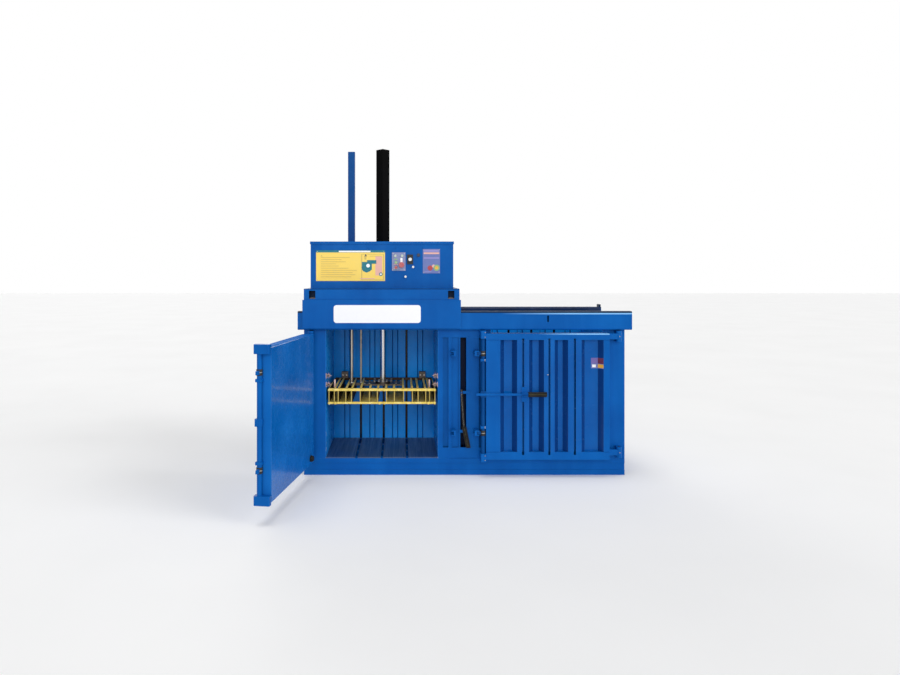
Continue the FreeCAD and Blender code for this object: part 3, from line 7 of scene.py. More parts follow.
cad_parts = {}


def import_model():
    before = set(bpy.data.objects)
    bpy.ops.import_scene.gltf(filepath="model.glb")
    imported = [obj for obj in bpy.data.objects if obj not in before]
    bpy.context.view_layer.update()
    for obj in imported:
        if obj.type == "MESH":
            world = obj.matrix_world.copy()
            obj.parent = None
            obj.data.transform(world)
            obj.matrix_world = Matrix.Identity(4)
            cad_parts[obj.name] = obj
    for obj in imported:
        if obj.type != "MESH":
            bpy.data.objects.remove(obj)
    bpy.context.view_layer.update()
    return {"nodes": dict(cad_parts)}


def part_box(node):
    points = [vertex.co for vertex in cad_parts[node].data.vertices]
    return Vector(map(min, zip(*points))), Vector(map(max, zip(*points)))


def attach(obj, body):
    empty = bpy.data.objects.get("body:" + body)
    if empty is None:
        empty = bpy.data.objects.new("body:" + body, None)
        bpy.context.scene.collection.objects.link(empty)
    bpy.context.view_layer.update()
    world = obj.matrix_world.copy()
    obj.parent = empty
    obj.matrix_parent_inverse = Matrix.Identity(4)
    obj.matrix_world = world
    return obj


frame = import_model()
nodes = frame["nodes"]

# ---------------------------------------------------------------- colours (scene linear)

BLUE = (0.0020, 0.107, 0.405)
BLUE_DARK = (0.0012, 0.077, 0.325)
BLUE_LIGHT = (0.02, 0.205, 0.64)
# Painted shade on the slanted and sideways faces of folded sheet.
FOLD_SHADE_BLUE = (0.004, 0.030, 0.15)
# Painted shade deep in the pier's gap.
GAP_SHADE_BLUE = (0.003, 0.008, 0.03)
# A lighter copy of the blue inside the bays: painted light where little lamp light reaches.
BAY_LIT_BLUE = (0.003, 0.29, 0.85)
SCUFF = (0.55, 0.58, 0.68)
# A painted highlight on the top edges of the front rail and the right door's frame.
PAINTED_HIGHLIGHT = (0.22, 0.50, 0.86)
# Painted shade on the top of the front rail and in the head tier's roller windows.
PAINTED_SHADE = (0.006, 0.022, 0.060)
# Dark navy: painted shade on the rear rail, and the key lock's own colour.
SHADE_AND_LOCK_NAVY = (0.006, 0.022, 0.075)
FLOOR_STEEL = (0.012, 0.035, 0.10)
FLOOR_SCRATCH = (0.05, 0.09, 0.19)
YELLOW = (0.86, 0.64, 0.13)
YELLOW_PALE = (0.95, 0.80, 0.36)
RUST = (0.085, 0.045, 0.028)
RUST_DARK = (0.012, 0.008, 0.006)
BLACK = (0.003, 0.003, 0.0035)
BLACK_SHADE = (0.002, 0.002, 0.002)
BLACK_WORN = (0.012, 0.012, 0.012)
RUBBER = (0.006, 0.006, 0.006)
RUBBER_DUST = (0.028, 0.026, 0.022)
STEEL = (0.48, 0.46, 0.43)
DARK_STEEL = (0.10, 0.085, 0.075)
LEVER_STEEL = (0.035, 0.032, 0.03)
POST_STEEL = (0.72, 0.50, 0.44)
WARM_STEEL = (0.50, 0.44, 0.36)
WARM_STAIN = (0.30, 0.22, 0.15)
CHROME = (0.72, 0.71, 0.70)
WHITE = (0.90, 0.90, 0.92)
PLASTIC_WHITE = (0.8, 0.8, 0.78)
PLATE_YELLOW = (0.90, 0.65, 0.13)
PLATE_LILAC = (0.13, 0.17, 0.42)
LILAC = (0.27, 0.25, 0.56)
LILAC_DEEP = (0.15, 0.12, 0.38)
MAROON = (0.14, 0.012, 0.05)
PINK = (0.75, 0.42, 0.36)
TEAL = (0.0, 0.16, 0.21)
RED = (0.42, 0.05, 0.06)
GREEN = (0.24, 0.42, 0.20)
LAMP_GREEN = (0.34, 0.42, 0.36)
ORANGE = (0.80, 0.42, 0.05)
OCHRE = (0.60, 0.46, 0.12)
OLIVE = (0.30, 0.26, 0.07)
PRINT_INK = (0.04, 0.05, 0.06)
PRINT_DUST = (0.4, 0.38, 0.36)
GREY = (0.20, 0.21, 0.23)
GREY_WORN = (0.4, 0.42, 0.44)
PANEL_GREY = (0.22, 0.25, 0.44)
STUDIO_LOW = (0.93, 0.93, 0.93)
STUDIO_HIGH = (0.96, 0.96, 0.96)


def mixed(a, b, share):
    """Colour a with a share of colour b."""
    return tuple(x * (1 - share) + y * share for x, y in zip(a, b))


# ---------------------------------------------------------------- places (metres, resting frame)

BAY_INNER, BAY_OUTER = 0.26, 1.36  # the bays' side walls, to either side of X 0
STEP = 0.001  # the width over which a mask goes from 0 to 1

# ---------------------------------------------------------------- materials


class Shader:
    """A small helper that adds and links the nodes of one material."""

    def __init__(self, name):
        self.material = bpy.data.materials.new(name)
        self.material.use_nodes = True
        self.tree = self.material.node_tree
        self.surface = self.tree.nodes["Principled BSDF"]
        self.place = self.add("ShaderNodeTexCoord").outputs["Object"]

    def add(self, kind, **settings):
        node = self.tree.nodes.new(kind)
        for key, value in settings.items():
            setattr(node, key, value)
        return node

    def link(self, output, socket):
        self.tree.links.new(output, socket)

    def noise(self, scale, detail, stretch=(1, 1, 1), roughness=0.55):
        """Cloudy values round 0.5. The scale is in blotches to a metre."""
        mapping = self.add("ShaderNodeMapping")
        mapping.inputs["Scale"].default_value = stretch
        self.link(self.place, mapping.inputs["Vector"])
        noise = self.add("ShaderNodeTexNoise")
        noise.inputs["Scale"].default_value = scale
        noise.inputs["Detail"].default_value = detail
        noise.inputs["Roughness"].default_value = roughness
        self.link(mapping.outputs["Vector"], noise.inputs["Vector"])
        return noise.outputs["Fac"]

    def ramp(self, fac, stops):
        """Colours along a factor, each with its place."""
        ramp = self.add("ShaderNodeValToRGB")
        elements = ramp.color_ramp.elements
        given = len(elements)
        for i, (where, colour) in enumerate(stops):
            element = elements[i] if i < given else elements.new(where)
            element.position = where
            element.color = (*colour, 1)
        self.link(fac, ramp.inputs["Fac"])
        return ramp.outputs["Color"]

    def span(self, fac, low, high, to_low, to_high):
        """Runs from to_low to to_high as the factor runs from low to high."""
        fit = self.add("ShaderNodeMapRange")
        limits = {"From Min": low, "From Max": high, "To Min": to_low, "To Max": to_high}
        for socket, value in limits.items():
            fit.inputs[socket].default_value = value
        self.link(fac, fit.inputs["Value"])
        return fit.outputs["Result"]

    def blend(self, fac, a, b):
        """From colour a, where the factor is 0, to colour b. Each is a tuple or an output."""
        mix = self.add("ShaderNodeMix", data_type="RGBA")
        self.link(fac, mix.inputs["Factor"])
        colour_a, colour_b = mix.inputs[6], mix.inputs[7]
        for socket, value in ((colour_a, a), (colour_b, b)):
            if isinstance(value, tuple):
                socket.default_value = (*value, 1)
            else:
                self.link(value, socket)
        return mix.outputs[2]

    def bump(self, height, strength, distance, normal=None):
        bump = self.add("ShaderNodeBump")
        bump.inputs["Strength"].default_value = strength
        bump.inputs["Distance"].default_value = distance
        self.link(height, bump.inputs["Height"])
        if normal:
            self.link(normal, bump.inputs["Normal"])
        return bump.outputs["Normal"]

    def rounded(self, radius):
        """Normals that round the edges."""
        bevel = self.add("ShaderNodeBevel", samples=4)
        bevel.inputs["Radius"].default_value = radius
        return bevel.outputs["Normal"]

    def edge(self, rounded):
        """1 where rounded normals lean away from the face's own."""
        dot = self.add("ShaderNodeVectorMath", operation="DOT_PRODUCT")
        self.link(rounded, dot.inputs[0])
        self.link(self.add("ShaderNodeNewGeometry").outputs["Normal"], dot.inputs[1])
        return self.span(dot.outputs["Value"], 0.99, 0.88, 0, 1)

    def maths(self, operation, *values):
        node = self.add("ShaderNodeMath", operation=operation)
        for value, socket in zip(values, node.inputs):
            self.link(value, socket)
        return node.outputs[0]

    def both(self, one, other):
        """One mask times another."""
        return self.maths("MULTIPLY", one, other)

    def either(self, one, other):
        """The greater of two masks."""
        return self.maths("MAXIMUM", one, other)

    def part(self, vector, axis):
        """One component of a vector."""
        parts = self.add("ShaderNodeSeparateXYZ")
        self.link(vector, parts.inputs[0])
        return parts.outputs[axis]

    def facing(self, axis, kind="True Normal"):
        """One component of the direction that a face looks in."""
        return self.part(self.add("ShaderNodeNewGeometry").outputs[kind], axis)

    def level(self, axis, low, high, start=0.0, end=1.0):
        """Runs from start to end as one coordinate of the resting frame runs from low to high."""
        return self.span(self.part(self.place, axis), low, high, start, end)

    def past(self, axis, start):
        """1 beyond a place on an axis of the resting frame."""
        return self.level(axis, start, start + STEP)

    def before(self, axis, end):
        """1 up to a place on an axis of the resting frame."""
        return self.level(axis, end, end + STEP, 1, 0)

    def looks(self, axis, low, high):
        """1 on the faces whose direction along an axis is past high, 0 before low."""
        return self.span(self.facing(axis), low, high, 0, 1)

    def slope(self):
        """Near 1 on the slanted and sideways faces of folded sheet, 0 on the flat ones; it places
        the painted shade of folds.
        """
        return self.span(self.maths("ABSOLUTE", self.facing("Y")), 0.98, 0.75, 0, 0.85)

    def outside_bays(self):
        """1 on the sides of the bays' walls that look away from the bays."""
        x = self.maths("ABSOLUTE", self.part(self.place, "X"))
        near, far = STEP / 2, STEP * 1.5
        ends = self.span(x, BAY_OUTER + near, BAY_OUTER + far, 0, 1)
        return self.either(ends, self.span(x, BAY_INNER - near, BAY_INNER - far, 0, 1))

    def finish(self, colour, rough, normal=None, metal=0.0, coat=0.0, coat_rough=0.1, specular=0.5):
        inputs = self.surface.inputs
        self.link(colour, inputs["Base Color"])
        self.link(rough, inputs["Roughness"])
        if normal:
            self.link(normal, inputs["Normal"])
            if coat:
                self.link(normal, inputs["Coat Normal"])
        inputs["Metallic"].default_value = metal
        inputs["Coat Weight"].default_value = coat
        inputs["Coat Roughness"].default_value = coat_rough
        inputs["Specular IOR Level"].default_value = specular
        return self.material


def sheet_paint(name, base, shade, light, gloss=0.3, coat=0.0, wave=0.5, wear=0.35, dirt=0.0,
                folds=None, runs=0.12, patches=(), shine=0.06):
    """Sprayed enamel on sheet steel: cloudy tone, faint runs, waves in the sheet, pale worn edges.

    Where a fold colour is given, the slanted and sideways faces get it as painted shade. Patches
    have another colour, such as a painted highlight on an edge or painted shade in a slot. Each
    comes as a pair of what makes its mask and its colour.
    """
    s = Shader(name)
    clouds = s.noise(2.3, 6)
    streaks = s.noise(9, 5, stretch=(1, 1, 0.06))
    soot = s.noise(5.5, 8, roughness=0.7)
    chips = s.noise(60, 5)
    sheen = s.noise(14, 5)
    waves = s.noise(3.2, 2)
    orange_peel = s.noise(420, 2)
    colour = s.ramp(clouds, [(0.3, shade), (0.7, base)])
    colour = s.blend(s.span(streaks, 0.45, 0.8, 0, runs), colour, light)
    # Painted shade on the slanted and sideways faces of folded sheet.
    if folds:
        colour = s.blend(s.slope(), colour, folds)
    colour = s.blend(s.span(soot, 0.52, 0.75, 0, dirt), colour, mixed(shade, RUST, 0.45))
    normal = s.rounded(0.004)
    worn = s.both(s.edge(normal), s.span(chips, 0.35, 0.6, 0.25, 1))
    colour = s.blend(s.span(worn, 0, 1, 0, wear), colour, light)
    for mask, tint in patches:
        colour = s.blend(mask(s), colour, tint)
    rough = s.span(sheen, 0.3, 0.75, gloss, gloss + 0.16)
    normal = s.bump(waves, wave, 0.004, normal)
    normal = s.bump(orange_peel, 0.12, 0.0004, normal)
    return s.finish(colour, rough, normal, coat=coat, coat_rough=0.08, specular=shine)


def blue_paint(name, **settings):
    return sheet_paint(name, BLUE, BLUE_DARK, BLUE_LIGHT, **settings)


def pier_gap_shade(s):
    """Painted shade in the depth between the pier's folded face and its middle."""
    face, middle = -0.395, 0
    return s.both(s.past("Y", face), s.before("Y", middle))


def rail_glint(s):
    """A painted highlight on the upper edge of the front rail, stronger to the right."""
    edge, left, right = 1.581, 0.35, 1.0
    return s.both(s.past("Z", edge), s.level("X", left, right))


def rail_top_shade(s):
    """Painted shade along the top of the front rail."""
    track = 1.594
    return s.past("Z", track)


def door_glint(s):
    """A painted highlight on the top edge of the right door's frame, stronger to the right."""
    edge, left, right = 1.387, 0.7, 1.1
    return s.both(s.past("Z", edge), s.level("X", left, right))


def slot_shade(s):
    """Painted shade on the bottoms of the slots in the back wall."""
    bottom = 0.364
    return s.both(s.past("Y", bottom), s.looks("Y", -0.4, -0.6))


def window_shade(s):
    """Painted shade on what shows in the roller windows of the head's tier."""
    inside = -0.440
    return s.both(s.past("Y", inside), s.looks("Y", -0.5, -0.8))


def wall_rear(s):
    """The side of the back wall that looks away from the bays."""
    return s.looks("Y", 0.1, 0.3)


def scuffs(s):
    """Paint rubbed off low down at the front, where bales are pulled out."""
    spots = s.span(s.noise(26, 3), 0.54, 0.62, 0, 1)
    low_down = s.level("Z", 0.3, 0.48, 1, 0)
    front = s.level("Y", -0.41, -0.34, 1, 0)
    return s.both(spots, s.both(low_down, front))


def metal_bar(name, colour, rough, grain=(1, 1, 0.02), scratch=0.3, stain=None):
    """Drawn or ground steel with fine lines along it, and with stains where a colour is given."""
    s = Shader(name)
    lines = s.noise(160, 4, stretch=grain)
    fine_lines = s.noise(220, 3, stretch=grain)
    scratches = s.noise(300, 3, stretch=grain)
    tone = s.ramp(lines, [(0.3, mixed(colour, BLACK, 0.35)), (0.72, colour)])
    if stain:
        spots = s.noise(18, 7, roughness=0.7)
        tone = s.blend(s.span(spots, 0.5, 0.72, 0, 0.8), tone, stain)
    roughness = s.span(fine_lines, 0.3, 0.7, rough, rough + 0.15)
    normal = s.bump(scratches, scratch, 0.0003, s.rounded(0.0015))
    return s.finish(tone, roughness, normal, metal=1.0)


def plastic(name, colour, rough=0.35, coat=0.2):
    """Moulded plastic, faintly uneven in tone and gloss."""
    s = Shader(name)
    mottle, smears, grain = s.noise(35, 5), s.noise(80, 4), s.noise(700, 2)
    tone = s.ramp(mottle, [(0.3, mixed(colour, BLACK, 0.18)), (0.7, colour)])
    roughness = s.span(smears, 0.3, 0.7, rough, rough + 0.12)
    normal = s.bump(grain, 0.15, 0.0003, s.rounded(0.0012))
    return s.finish(tone, roughness, normal, coat=coat, coat_rough=0.12)


def worn_floor(name, base, light):
    """Floor plate scoured by bales: long scratches from front to back and bare patches."""
    s = Shader(name)
    scratches = s.noise(55, 6, stretch=(1, 0.03, 1), roughness=0.75)
    bare = s.noise(3.5, 6)
    colour = s.ramp(scratches, [(0.35, base), (0.72, light)])
    colour = s.blend(s.span(bare, 0.45, 0.7, 0, 0.5), colour, mixed(BLUE_DARK, base, 0.4))
    rough = s.span(scratches, 0.3, 0.7, 0.5, 0.28)
    normal = s.bump(scratches, 0.35, 0.0008, s.rounded(0.003))
    return s.finish(colour, rough, normal, metal=0.35, coat=0.25, coat_rough=0.25)


def platen_paint(name, front, dull=0.0):
    """Rusty dark plate, brushed yellow on its top edges and, duller, before a place on Y."""
    s = Shader(name)
    blooms = s.noise(14, 7, roughness=0.7)
    brush, rubbed = s.noise(22, 6), s.noise(75, 7, roughness=0.72)
    smears, pits = s.noise(40, 4), s.noise(90, 4)
    before_shoes = s.level("Y", 0.18, 0.28, 1, 0)
    top = s.both(s.span(s.facing("Z", "Normal"), 0.5, 0.9, 0, 1), before_shoes)
    painted = s.either(top, s.level("Y", front, front + 0.002, 1 - dull, 0))
    dark = s.ramp(blooms, [(0.3, RUST_DARK), (0.7, RUST)])
    yellow = s.ramp(brush, [(0.25, mixed(YELLOW, RUST, 0.25)), (0.5, YELLOW), (0.8, YELLOW_PALE)])
    yellow = s.blend(s.span(rubbed, 0.58, 0.68, 0, 0.85), yellow, RUST)
    rough = s.span(smears, 0.3, 0.7, 0.4, 0.6)
    normal = s.bump(pits, 0.25, 0.0008, s.rounded(0.003))
    return s.finish(s.blend(painted, dark, yellow), rough, normal, specular=0.15)


def printed(name, colour, fade=0.08):
    """A printed field on a metal plate: a faint mottle under a clear film."""
    s = Shader(name)
    mottle, smears, film = s.noise(24, 5), s.noise(30, 3), s.noise(260, 2)
    tone = s.ramp(mottle, [(0.3, mixed(colour, PRINT_DUST, fade)), (0.7, colour)])
    rough = s.span(smears, 0.3, 0.7, 0.38, 0.5)
    normal = s.bump(film, 0.06, 0.0003)
    return s.finish(tone, rough, normal, coat=0.1, coat_rough=0.2, specular=0.15)


def rubber(name):
    """Dusty black rubber with a fine grain."""
    s = Shader(name)
    dust, smears, grain = s.noise(30, 5), s.noise(60, 4), s.noise(520, 3)
    tone = s.ramp(dust, [(0.3, RUBBER), (0.75, RUBBER_DUST)])
    rough = s.span(smears, 0.3, 0.7, 0.45, 0.65)
    normal = s.bump(grain, 0.4, 0.0006)
    return s.finish(tone, rough, normal, specular=0.1)


EVEN = (1, 1, 1)  # a grain with no direction

MATERIALS = {
    "blue": blue_paint("machine_blue"),
    "blue_folded": blue_paint("folded_blue", folds=FOLD_SHADE_BLUE, patches=[(pier_gap_shade, GAP_SHADE_BLUE)]),
    "blue_door": blue_paint("door_blue", gloss=0.16, coat=0.15, wave=0.25, folds=FOLD_SHADE_BLUE),
    "blue_tier": blue_paint("tier_blue", patches=[(window_shade, PAINTED_SHADE)]),
    "blue_rail": blue_paint("rail_blue", patches=[(rail_glint, PAINTED_HIGHLIGHT), (rail_top_shade, PAINTED_SHADE)]),
    "blue_frame": blue_paint("door_frame_blue", patches=[(door_glint, PAINTED_HIGHLIGHT)]),
    # The open left door's frame: a matt, lighter copy of the blue, painted light like the door's
    # panel.
    "blue_matt_lit": sheet_paint("matt_lit_blue", mixed(BLUE, BLUE_LIGHT, 0.3), BLUE, BLUE_LIGHT,
                             gloss=0.65),
    # A darker blue; on the right lock rod it is painted shade.
    "blue_dark_and_shaded": sheet_paint("dark_and_shaded_blue", mixed(BLUE, BLACK, 0.4),
                               mixed(BLUE_DARK, BLACK, 0.4), BLUE),
    # Inside the bays the walls get a lighter copy of the blue as painted light; their sides that
    # look away from the bays keep the plain blue.
    "blue_bay": sheet_paint("bay_blue", BAY_LIT_BLUE, mixed(BLUE, BAY_LIT_BLUE, 0.5), BLUE_LIGHT,
                            gloss=0.24, coat=0.2, dirt=0.2, folds=FOLD_SHADE_BLUE,
                            patches=[(slot_shade, BLACK), (wall_rear, BLUE)]),
    "blue_wall": sheet_paint("bay_wall_blue", BAY_LIT_BLUE, BLUE_LIGHT, BLUE_LIGHT,
                             gloss=0.24, coat=0.2, dirt=0.15,
                             patches=[(scuffs, SCUFF), (Shader.outside_bays, BLUE)]),
    "blue_lit": sheet_paint("lit_door_blue", mixed(BLUE, BLUE_LIGHT, 0.5), BLUE, BLUE_LIGHT,
                            gloss=0.2, coat=0.3, wave=0.3),
    # Painted shade on the rear rail; the key lock's own dark navy.
    "navy": sheet_paint("rail_shade_and_lock_navy", SHADE_AND_LOCK_NAVY, mixed(SHADE_AND_LOCK_NAVY, BLACK, 0.5), BLUE_DARK,
                        gloss=0.4, coat=0.3, dirt=0.5),
    "floor": worn_floor("floor_steel", FLOOR_STEEL, FLOOR_SCRATCH),
    "black": sheet_paint("guard_black", BLACK, BLACK_SHADE, BLACK_WORN,
                         gloss=0.45, wear=0.25, runs=0.04, shine=0.02),
    "yellow": platen_paint("platen_yellow", -0.386),
    "fins": platen_paint("fin_steel", -0.412, dull=0.45),
    "dark": metal_bar("dark_steel", DARK_STEEL, 0.4, grain=EVEN, stain=RUST),
    "steel": metal_bar("turned_steel", STEEL, 0.28, grain=EVEN),
    "lever_steel": metal_bar("lever_steel", LEVER_STEEL, 0.45, grain=(1, 1, 0.05)),
    "post": metal_bar("post_steel", POST_STEEL, 0.4),
    "rod": metal_bar("guide_steel", WARM_STEEL, 0.24, stain=WARM_STAIN),
    "chrome": metal_bar("hard_chrome", CHROME, 0.1, scratch=0.1),
    "rubber": rubber("grip_rubber"),
    "white": printed("plate_white", WHITE, fade=0.03),
    "plate_yellow": printed("plate_yellow", PLATE_YELLOW),
    "plate_lilac": printed("plate_lilac", PLATE_LILAC),
    "lilac": printed("print_lilac", LILAC),
    "pink": printed("print_pink", PINK),
    "teal": printed("print_teal", TEAL),
    "red_print": printed("print_red", RED),
    "green_print": printed("print_green", GREEN),
    "orange": printed("print_orange", ORANGE),
    "ochre": printed("print_ochre", OCHRE),
    "panel": printed("panel_grey", PANEL_GREY),
    "ink": printed("print_ink", PRINT_INK),
    "red": plastic("button_red", RED),
    "green": plastic("button_green", GREEN),
    "pale": plastic("button_white", PLASTIC_WHITE),
    "lamp": plastic("lamp_green", LAMP_GREEN, rough=0.2, coat=0.6),
    "olive": plastic("grip_seam", OLIVE, rough=0.6, coat=0.0),
    "deep_lilac": printed("print_deep_lilac", LILAC_DEEP),
    "maroon": printed("print_maroon", MAROON),
    "plastic_black": plastic("plastic_black", RUBBER, rough=0.6, coat=0.0),
    "grey": sheet_paint("drive_grey", GREY, mixed(GREY, BLACK, 0.3), GREY_WORN),
}

DRESS = {
    "blue": ["base_frame", "column_frame", "bay_fittings", "head_skirts",
             "cabinet_walls", "cabinet_lid", "lock_lever",
             "left_door_fittings", "right_door_fittings", "left_lock_rod"],
    "blue_folded": ["pier_panels"],
    "blue_rail": ["front_rail"],
    "blue_tier": ["head_tier"],
    "blue_frame": ["right_door_frame"],
    "blue_dark_and_shaded": ["guide_sleeve", "right_lock_rod", "head_beams"],
    "blue_door": ["right_door_panel"],
    "blue_lit": ["left_door_panel"],
    "blue_matt_lit": ["left_door_frame"],
    "blue_bay": ["bay_back_walls"],
    "blue_wall": ["bay_side_walls"],
    "floor": ["bay_floors"],
    "black": ["cylinder_guard", "cylinder_barrel"],
    "yellow": ["platen_frame"],
    "fins": ["platen_fins"],
    "dark": ["platen_hub", "platen_fittings", "hinge_pins", "front_left_roller",
             "front_right_roller", "rear_left_roller", "rear_right_roller"],
    "steel": ["ram_piston", "ram_bolts", "roller_axles", "rod_bushes", "cylinder_gland",
              "valve_block"],
    "lever_steel": ["spare_lever"],
    "rod": ["guide_rods"],
    "chrome": ["ram_rod"],
    "rubber": ["lock_grip", "spare_grip"],
    "white": ["name_plate"],
    "plate_yellow": ["guide_plate"],
    "plate_lilac": ["side_label"],
    "panel": ["control_panel"],
    "lamp": ["panel_lamps"],
    "green": ["start_button"],
    "pale": ["mode_knob"],
    "red": ["stop_button", "return_button"],
    "navy": ["rear_rail", "key_lock"],
    "plastic_black": ["front_fittings"],
    "grey": ["oil_tank", "motor_pump", "electrical_box"],
}

for key, names in DRESS.items():
    for name in names:
        nodes[name].data.materials.clear()
        nodes[name].data.materials.append(MATERIALS[key])

# ---------------------------------------------------------------- made pieces


def piece(name, mesh, keys, body, smooth=False):
    """Makes an object of a bmesh, with its materials, that rides on a body."""
    data = bpy.data.meshes.new(name)
    mesh.to_mesh(data)
    mesh.free()
    thing = bpy.data.objects.new(name, data)
    bpy.context.scene.collection.objects.link(thing)
    for key in keys:
        data.materials.append(MATERIALS[key])
    for face in data.polygons:
        face.use_smooth = smooth
    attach(thing, body)


def paint_faces(verts, material):
    """Gives the faces round these vertices a material, by its place in the piece's list."""
    for face in {face for vert in verts for face in vert.link_faces}:
        face.material_index = material


def soften(mesh, edges, width, material):
    bmesh.ops.bevel(mesh, geom=list(edges), offset=width, segments=2, affect="EDGES", profile=0.6,
                    material=material)


def add_slab(mesh, low, high, material=0, soft=0.0):
    """A box between two corners, with its edges softened."""
    low, high = Vector(low), Vector(high)
    place = Matrix.Translation((low + high) / 2) @ Matrix.Diagonal((*(high - low), 1))
    verts = bmesh.ops.create_cube(mesh, size=1, matrix=place)["verts"]
    paint_faces(verts, material)
    if soft:
        soften(mesh, {edge for vert in verts for edge in vert.link_edges}, soft, material)


TURNS = {"x": Matrix.Rotation(math.pi / 2, 4, "Y"), "y": Matrix.Rotation(math.pi / 2, 4, "X"),
         "z": Matrix.Identity(4)}


def add_round(mesh, centre, radius, depth, axis, material=0, sides=24, soft=0.0, top=None):
    """A disc or stub with a softened rim, its middle at the centre given.

    Where a top radius is given, the end that the turned Z looks to has it.
    """
    made = bmesh.ops.create_cone(mesh, cap_ends=True, segments=sides, radius1=radius,
                                 radius2=radius if top is None else top, depth=depth,
                                 matrix=Matrix.Translation(centre) @ TURNS[axis])
    verts = made["verts"]
    paint_faces(verts, material)
    if soft:
        rims = {edge for vert in verts for edge in vert.link_edges
                if any(len(face.verts) > 4 for face in edge.link_faces)}
        soften(mesh, rims, soft, material)


def weld(mesh, start, end):
    """A fillet weld: a run of small overlapping scales between two points."""
    radius, ripple, squash = 0.004, 0.006, 0.8
    start, end = Vector(start), Vector(end)
    count = max(2, round((end - start).length / ripple))
    turn = (end - start).to_track_quat("Z", "Y").to_matrix().to_4x4()
    for step in range(count + 1):
        centre = start.lerp(end, step / count)
        made = bmesh.ops.create_icosphere(mesh, subdivisions=1, radius=radius)
        place = Matrix.Translation(centre) @ turn @ Matrix.Diagonal((1, 1, squash, 1))
        bmesh.ops.transform(mesh, matrix=place, verts=made["verts"])


# ---------------------------------------------------------------- printed plates

INK = 0.0004  # the thickness of print and stickers


def prints(name, node, fields):
    """Fields of colour on a plate, placed by shares of its width and height from its lower left.

    A bar has two opposite corners. A disc has its centre, its radius as a share of the plate's
    height, and its number of sides. Each field stands a little higher than the one before.
    """
    low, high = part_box(node)
    left, face, bottom = low
    wide, tall = high[0] - left, high[2] - bottom
    keys = sorted({key for *_, key in fields})
    mesh = bmesh.new()
    for layer, (kind, *spot, key) in enumerate(fields, start=1):
        x = left + spot[0] * wide
        z = bottom + spot[1] * tall
        rise = INK + layer * INK / 4
        if kind == "bar":
            corner = (left + spot[2] * wide, face, bottom + spot[3] * tall)
            add_slab(mesh, (x, face - rise, z), corner, keys.index(key))
        else:
            add_round(mesh, (x, face - rise / 2, z), radius=spot[2] * tall, depth=rise, axis="y",
                      material=keys.index(key), sides=spot[3])
    piece(name, mesh, keys, "frame")


def guide_print():
    """A header, a simple drawing of a press in a frame, and rows that stand for lines of text."""
    fields = [
        ("bar", 0, 0.93, 1, 1, "teal"),
        ("bar", 0.33, 0.94, 0.79, 0.985, "white"),
        ("bar", 0.655, 0.03, 0.985, 0.88, "ochre"),
        ("bar", 0.67, 0.05, 0.97, 0.86, "plate_yellow"),
        ("bar", 0.86, 0.18, 0.96, 0.80, "pink"),
        ("bar", 0.665, 0.36, 0.81, 0.62, "teal"),
        ("disc", 0.735, 0.44, 0.17, 8, "teal"),
        ("disc", 0.755, 0.50, 0.06, 20, "white"),
        ("bar", 0.74, 0.56, 0.875, 0.68, "teal"),
        ("bar", 0.64, 0.06, 0.85, 0.09, "pink"),
        ("bar", 0.78, 0.80, 0.95, 0.82, "ochre"),
        ("bar", 0.70, 0.70, 0.73, 0.82, "ochre"),
        ("disc", 0.94, 0.22, 0.06, 16, "teal"),
        ("disc", 0.94, 0.22, 0.03, 16, "white"),
        ("disc", 0.08, 0.82, 0.035, 3, "ochre"),
        ("disc", 0.72, 0.83, 0.05, 3, "ink"),
    ]
    row_lengths = (0.42, 0.30, 0.36, 0.22, 0.26, 0.40, 0.52, 0.46, 0.50, 0.44)
    left, top, pitch, thick = 0.07, 0.76, 0.07, 0.016
    for row, length in enumerate(row_lengths):
        z = top - row * pitch
        fields.append(("bar", left, z, left + length, z + thick, "ochre"))
    prints("guide_print", "guide_plate", fields)


def label_print():
    """Bands and a few coloured spots."""
    prints("label_print", "side_label", [
        ("bar", 0.05, 0.88, 0.95, 0.97, "lilac"),
        ("bar", 0.05, 0.79, 0.95, 0.86, "pink"),
        ("bar", 0.05, 0.60, 0.95, 0.66, "lilac"),
        ("disc", 0.42, 0.22, 0.11, 8, "red_print"),
        ("disc", 0.62, 0.30, 0.07, 6, "pink"),
        ("disc", 0.80, 0.23, 0.13, 14, "green_print"),
        ("disc", 0.80, 0.23, 0.07, 14, "orange"),
        ("bar", 0.1, 0.05, 0.5, 0.08, "lilac"),
    ])


def panel_print():
    """Bars beside the lamps and buttons of the control panel."""
    prints("panel_print", "control_panel", [
        ("bar", 0.06, 0.03, 0.60, 0.055, "teal"),
        ("bar", 0.62, 0.40, 0.78, 0.70, "white"),
        ("bar", 0.16, 0.60, 0.40, 0.66, "green_print"),
        ("bar", 0.12, 0.34, 0.44, 0.37, "pink"),
        ("bar", 0.12, 0.10, 0.40, 0.13, "pink"),
    ])


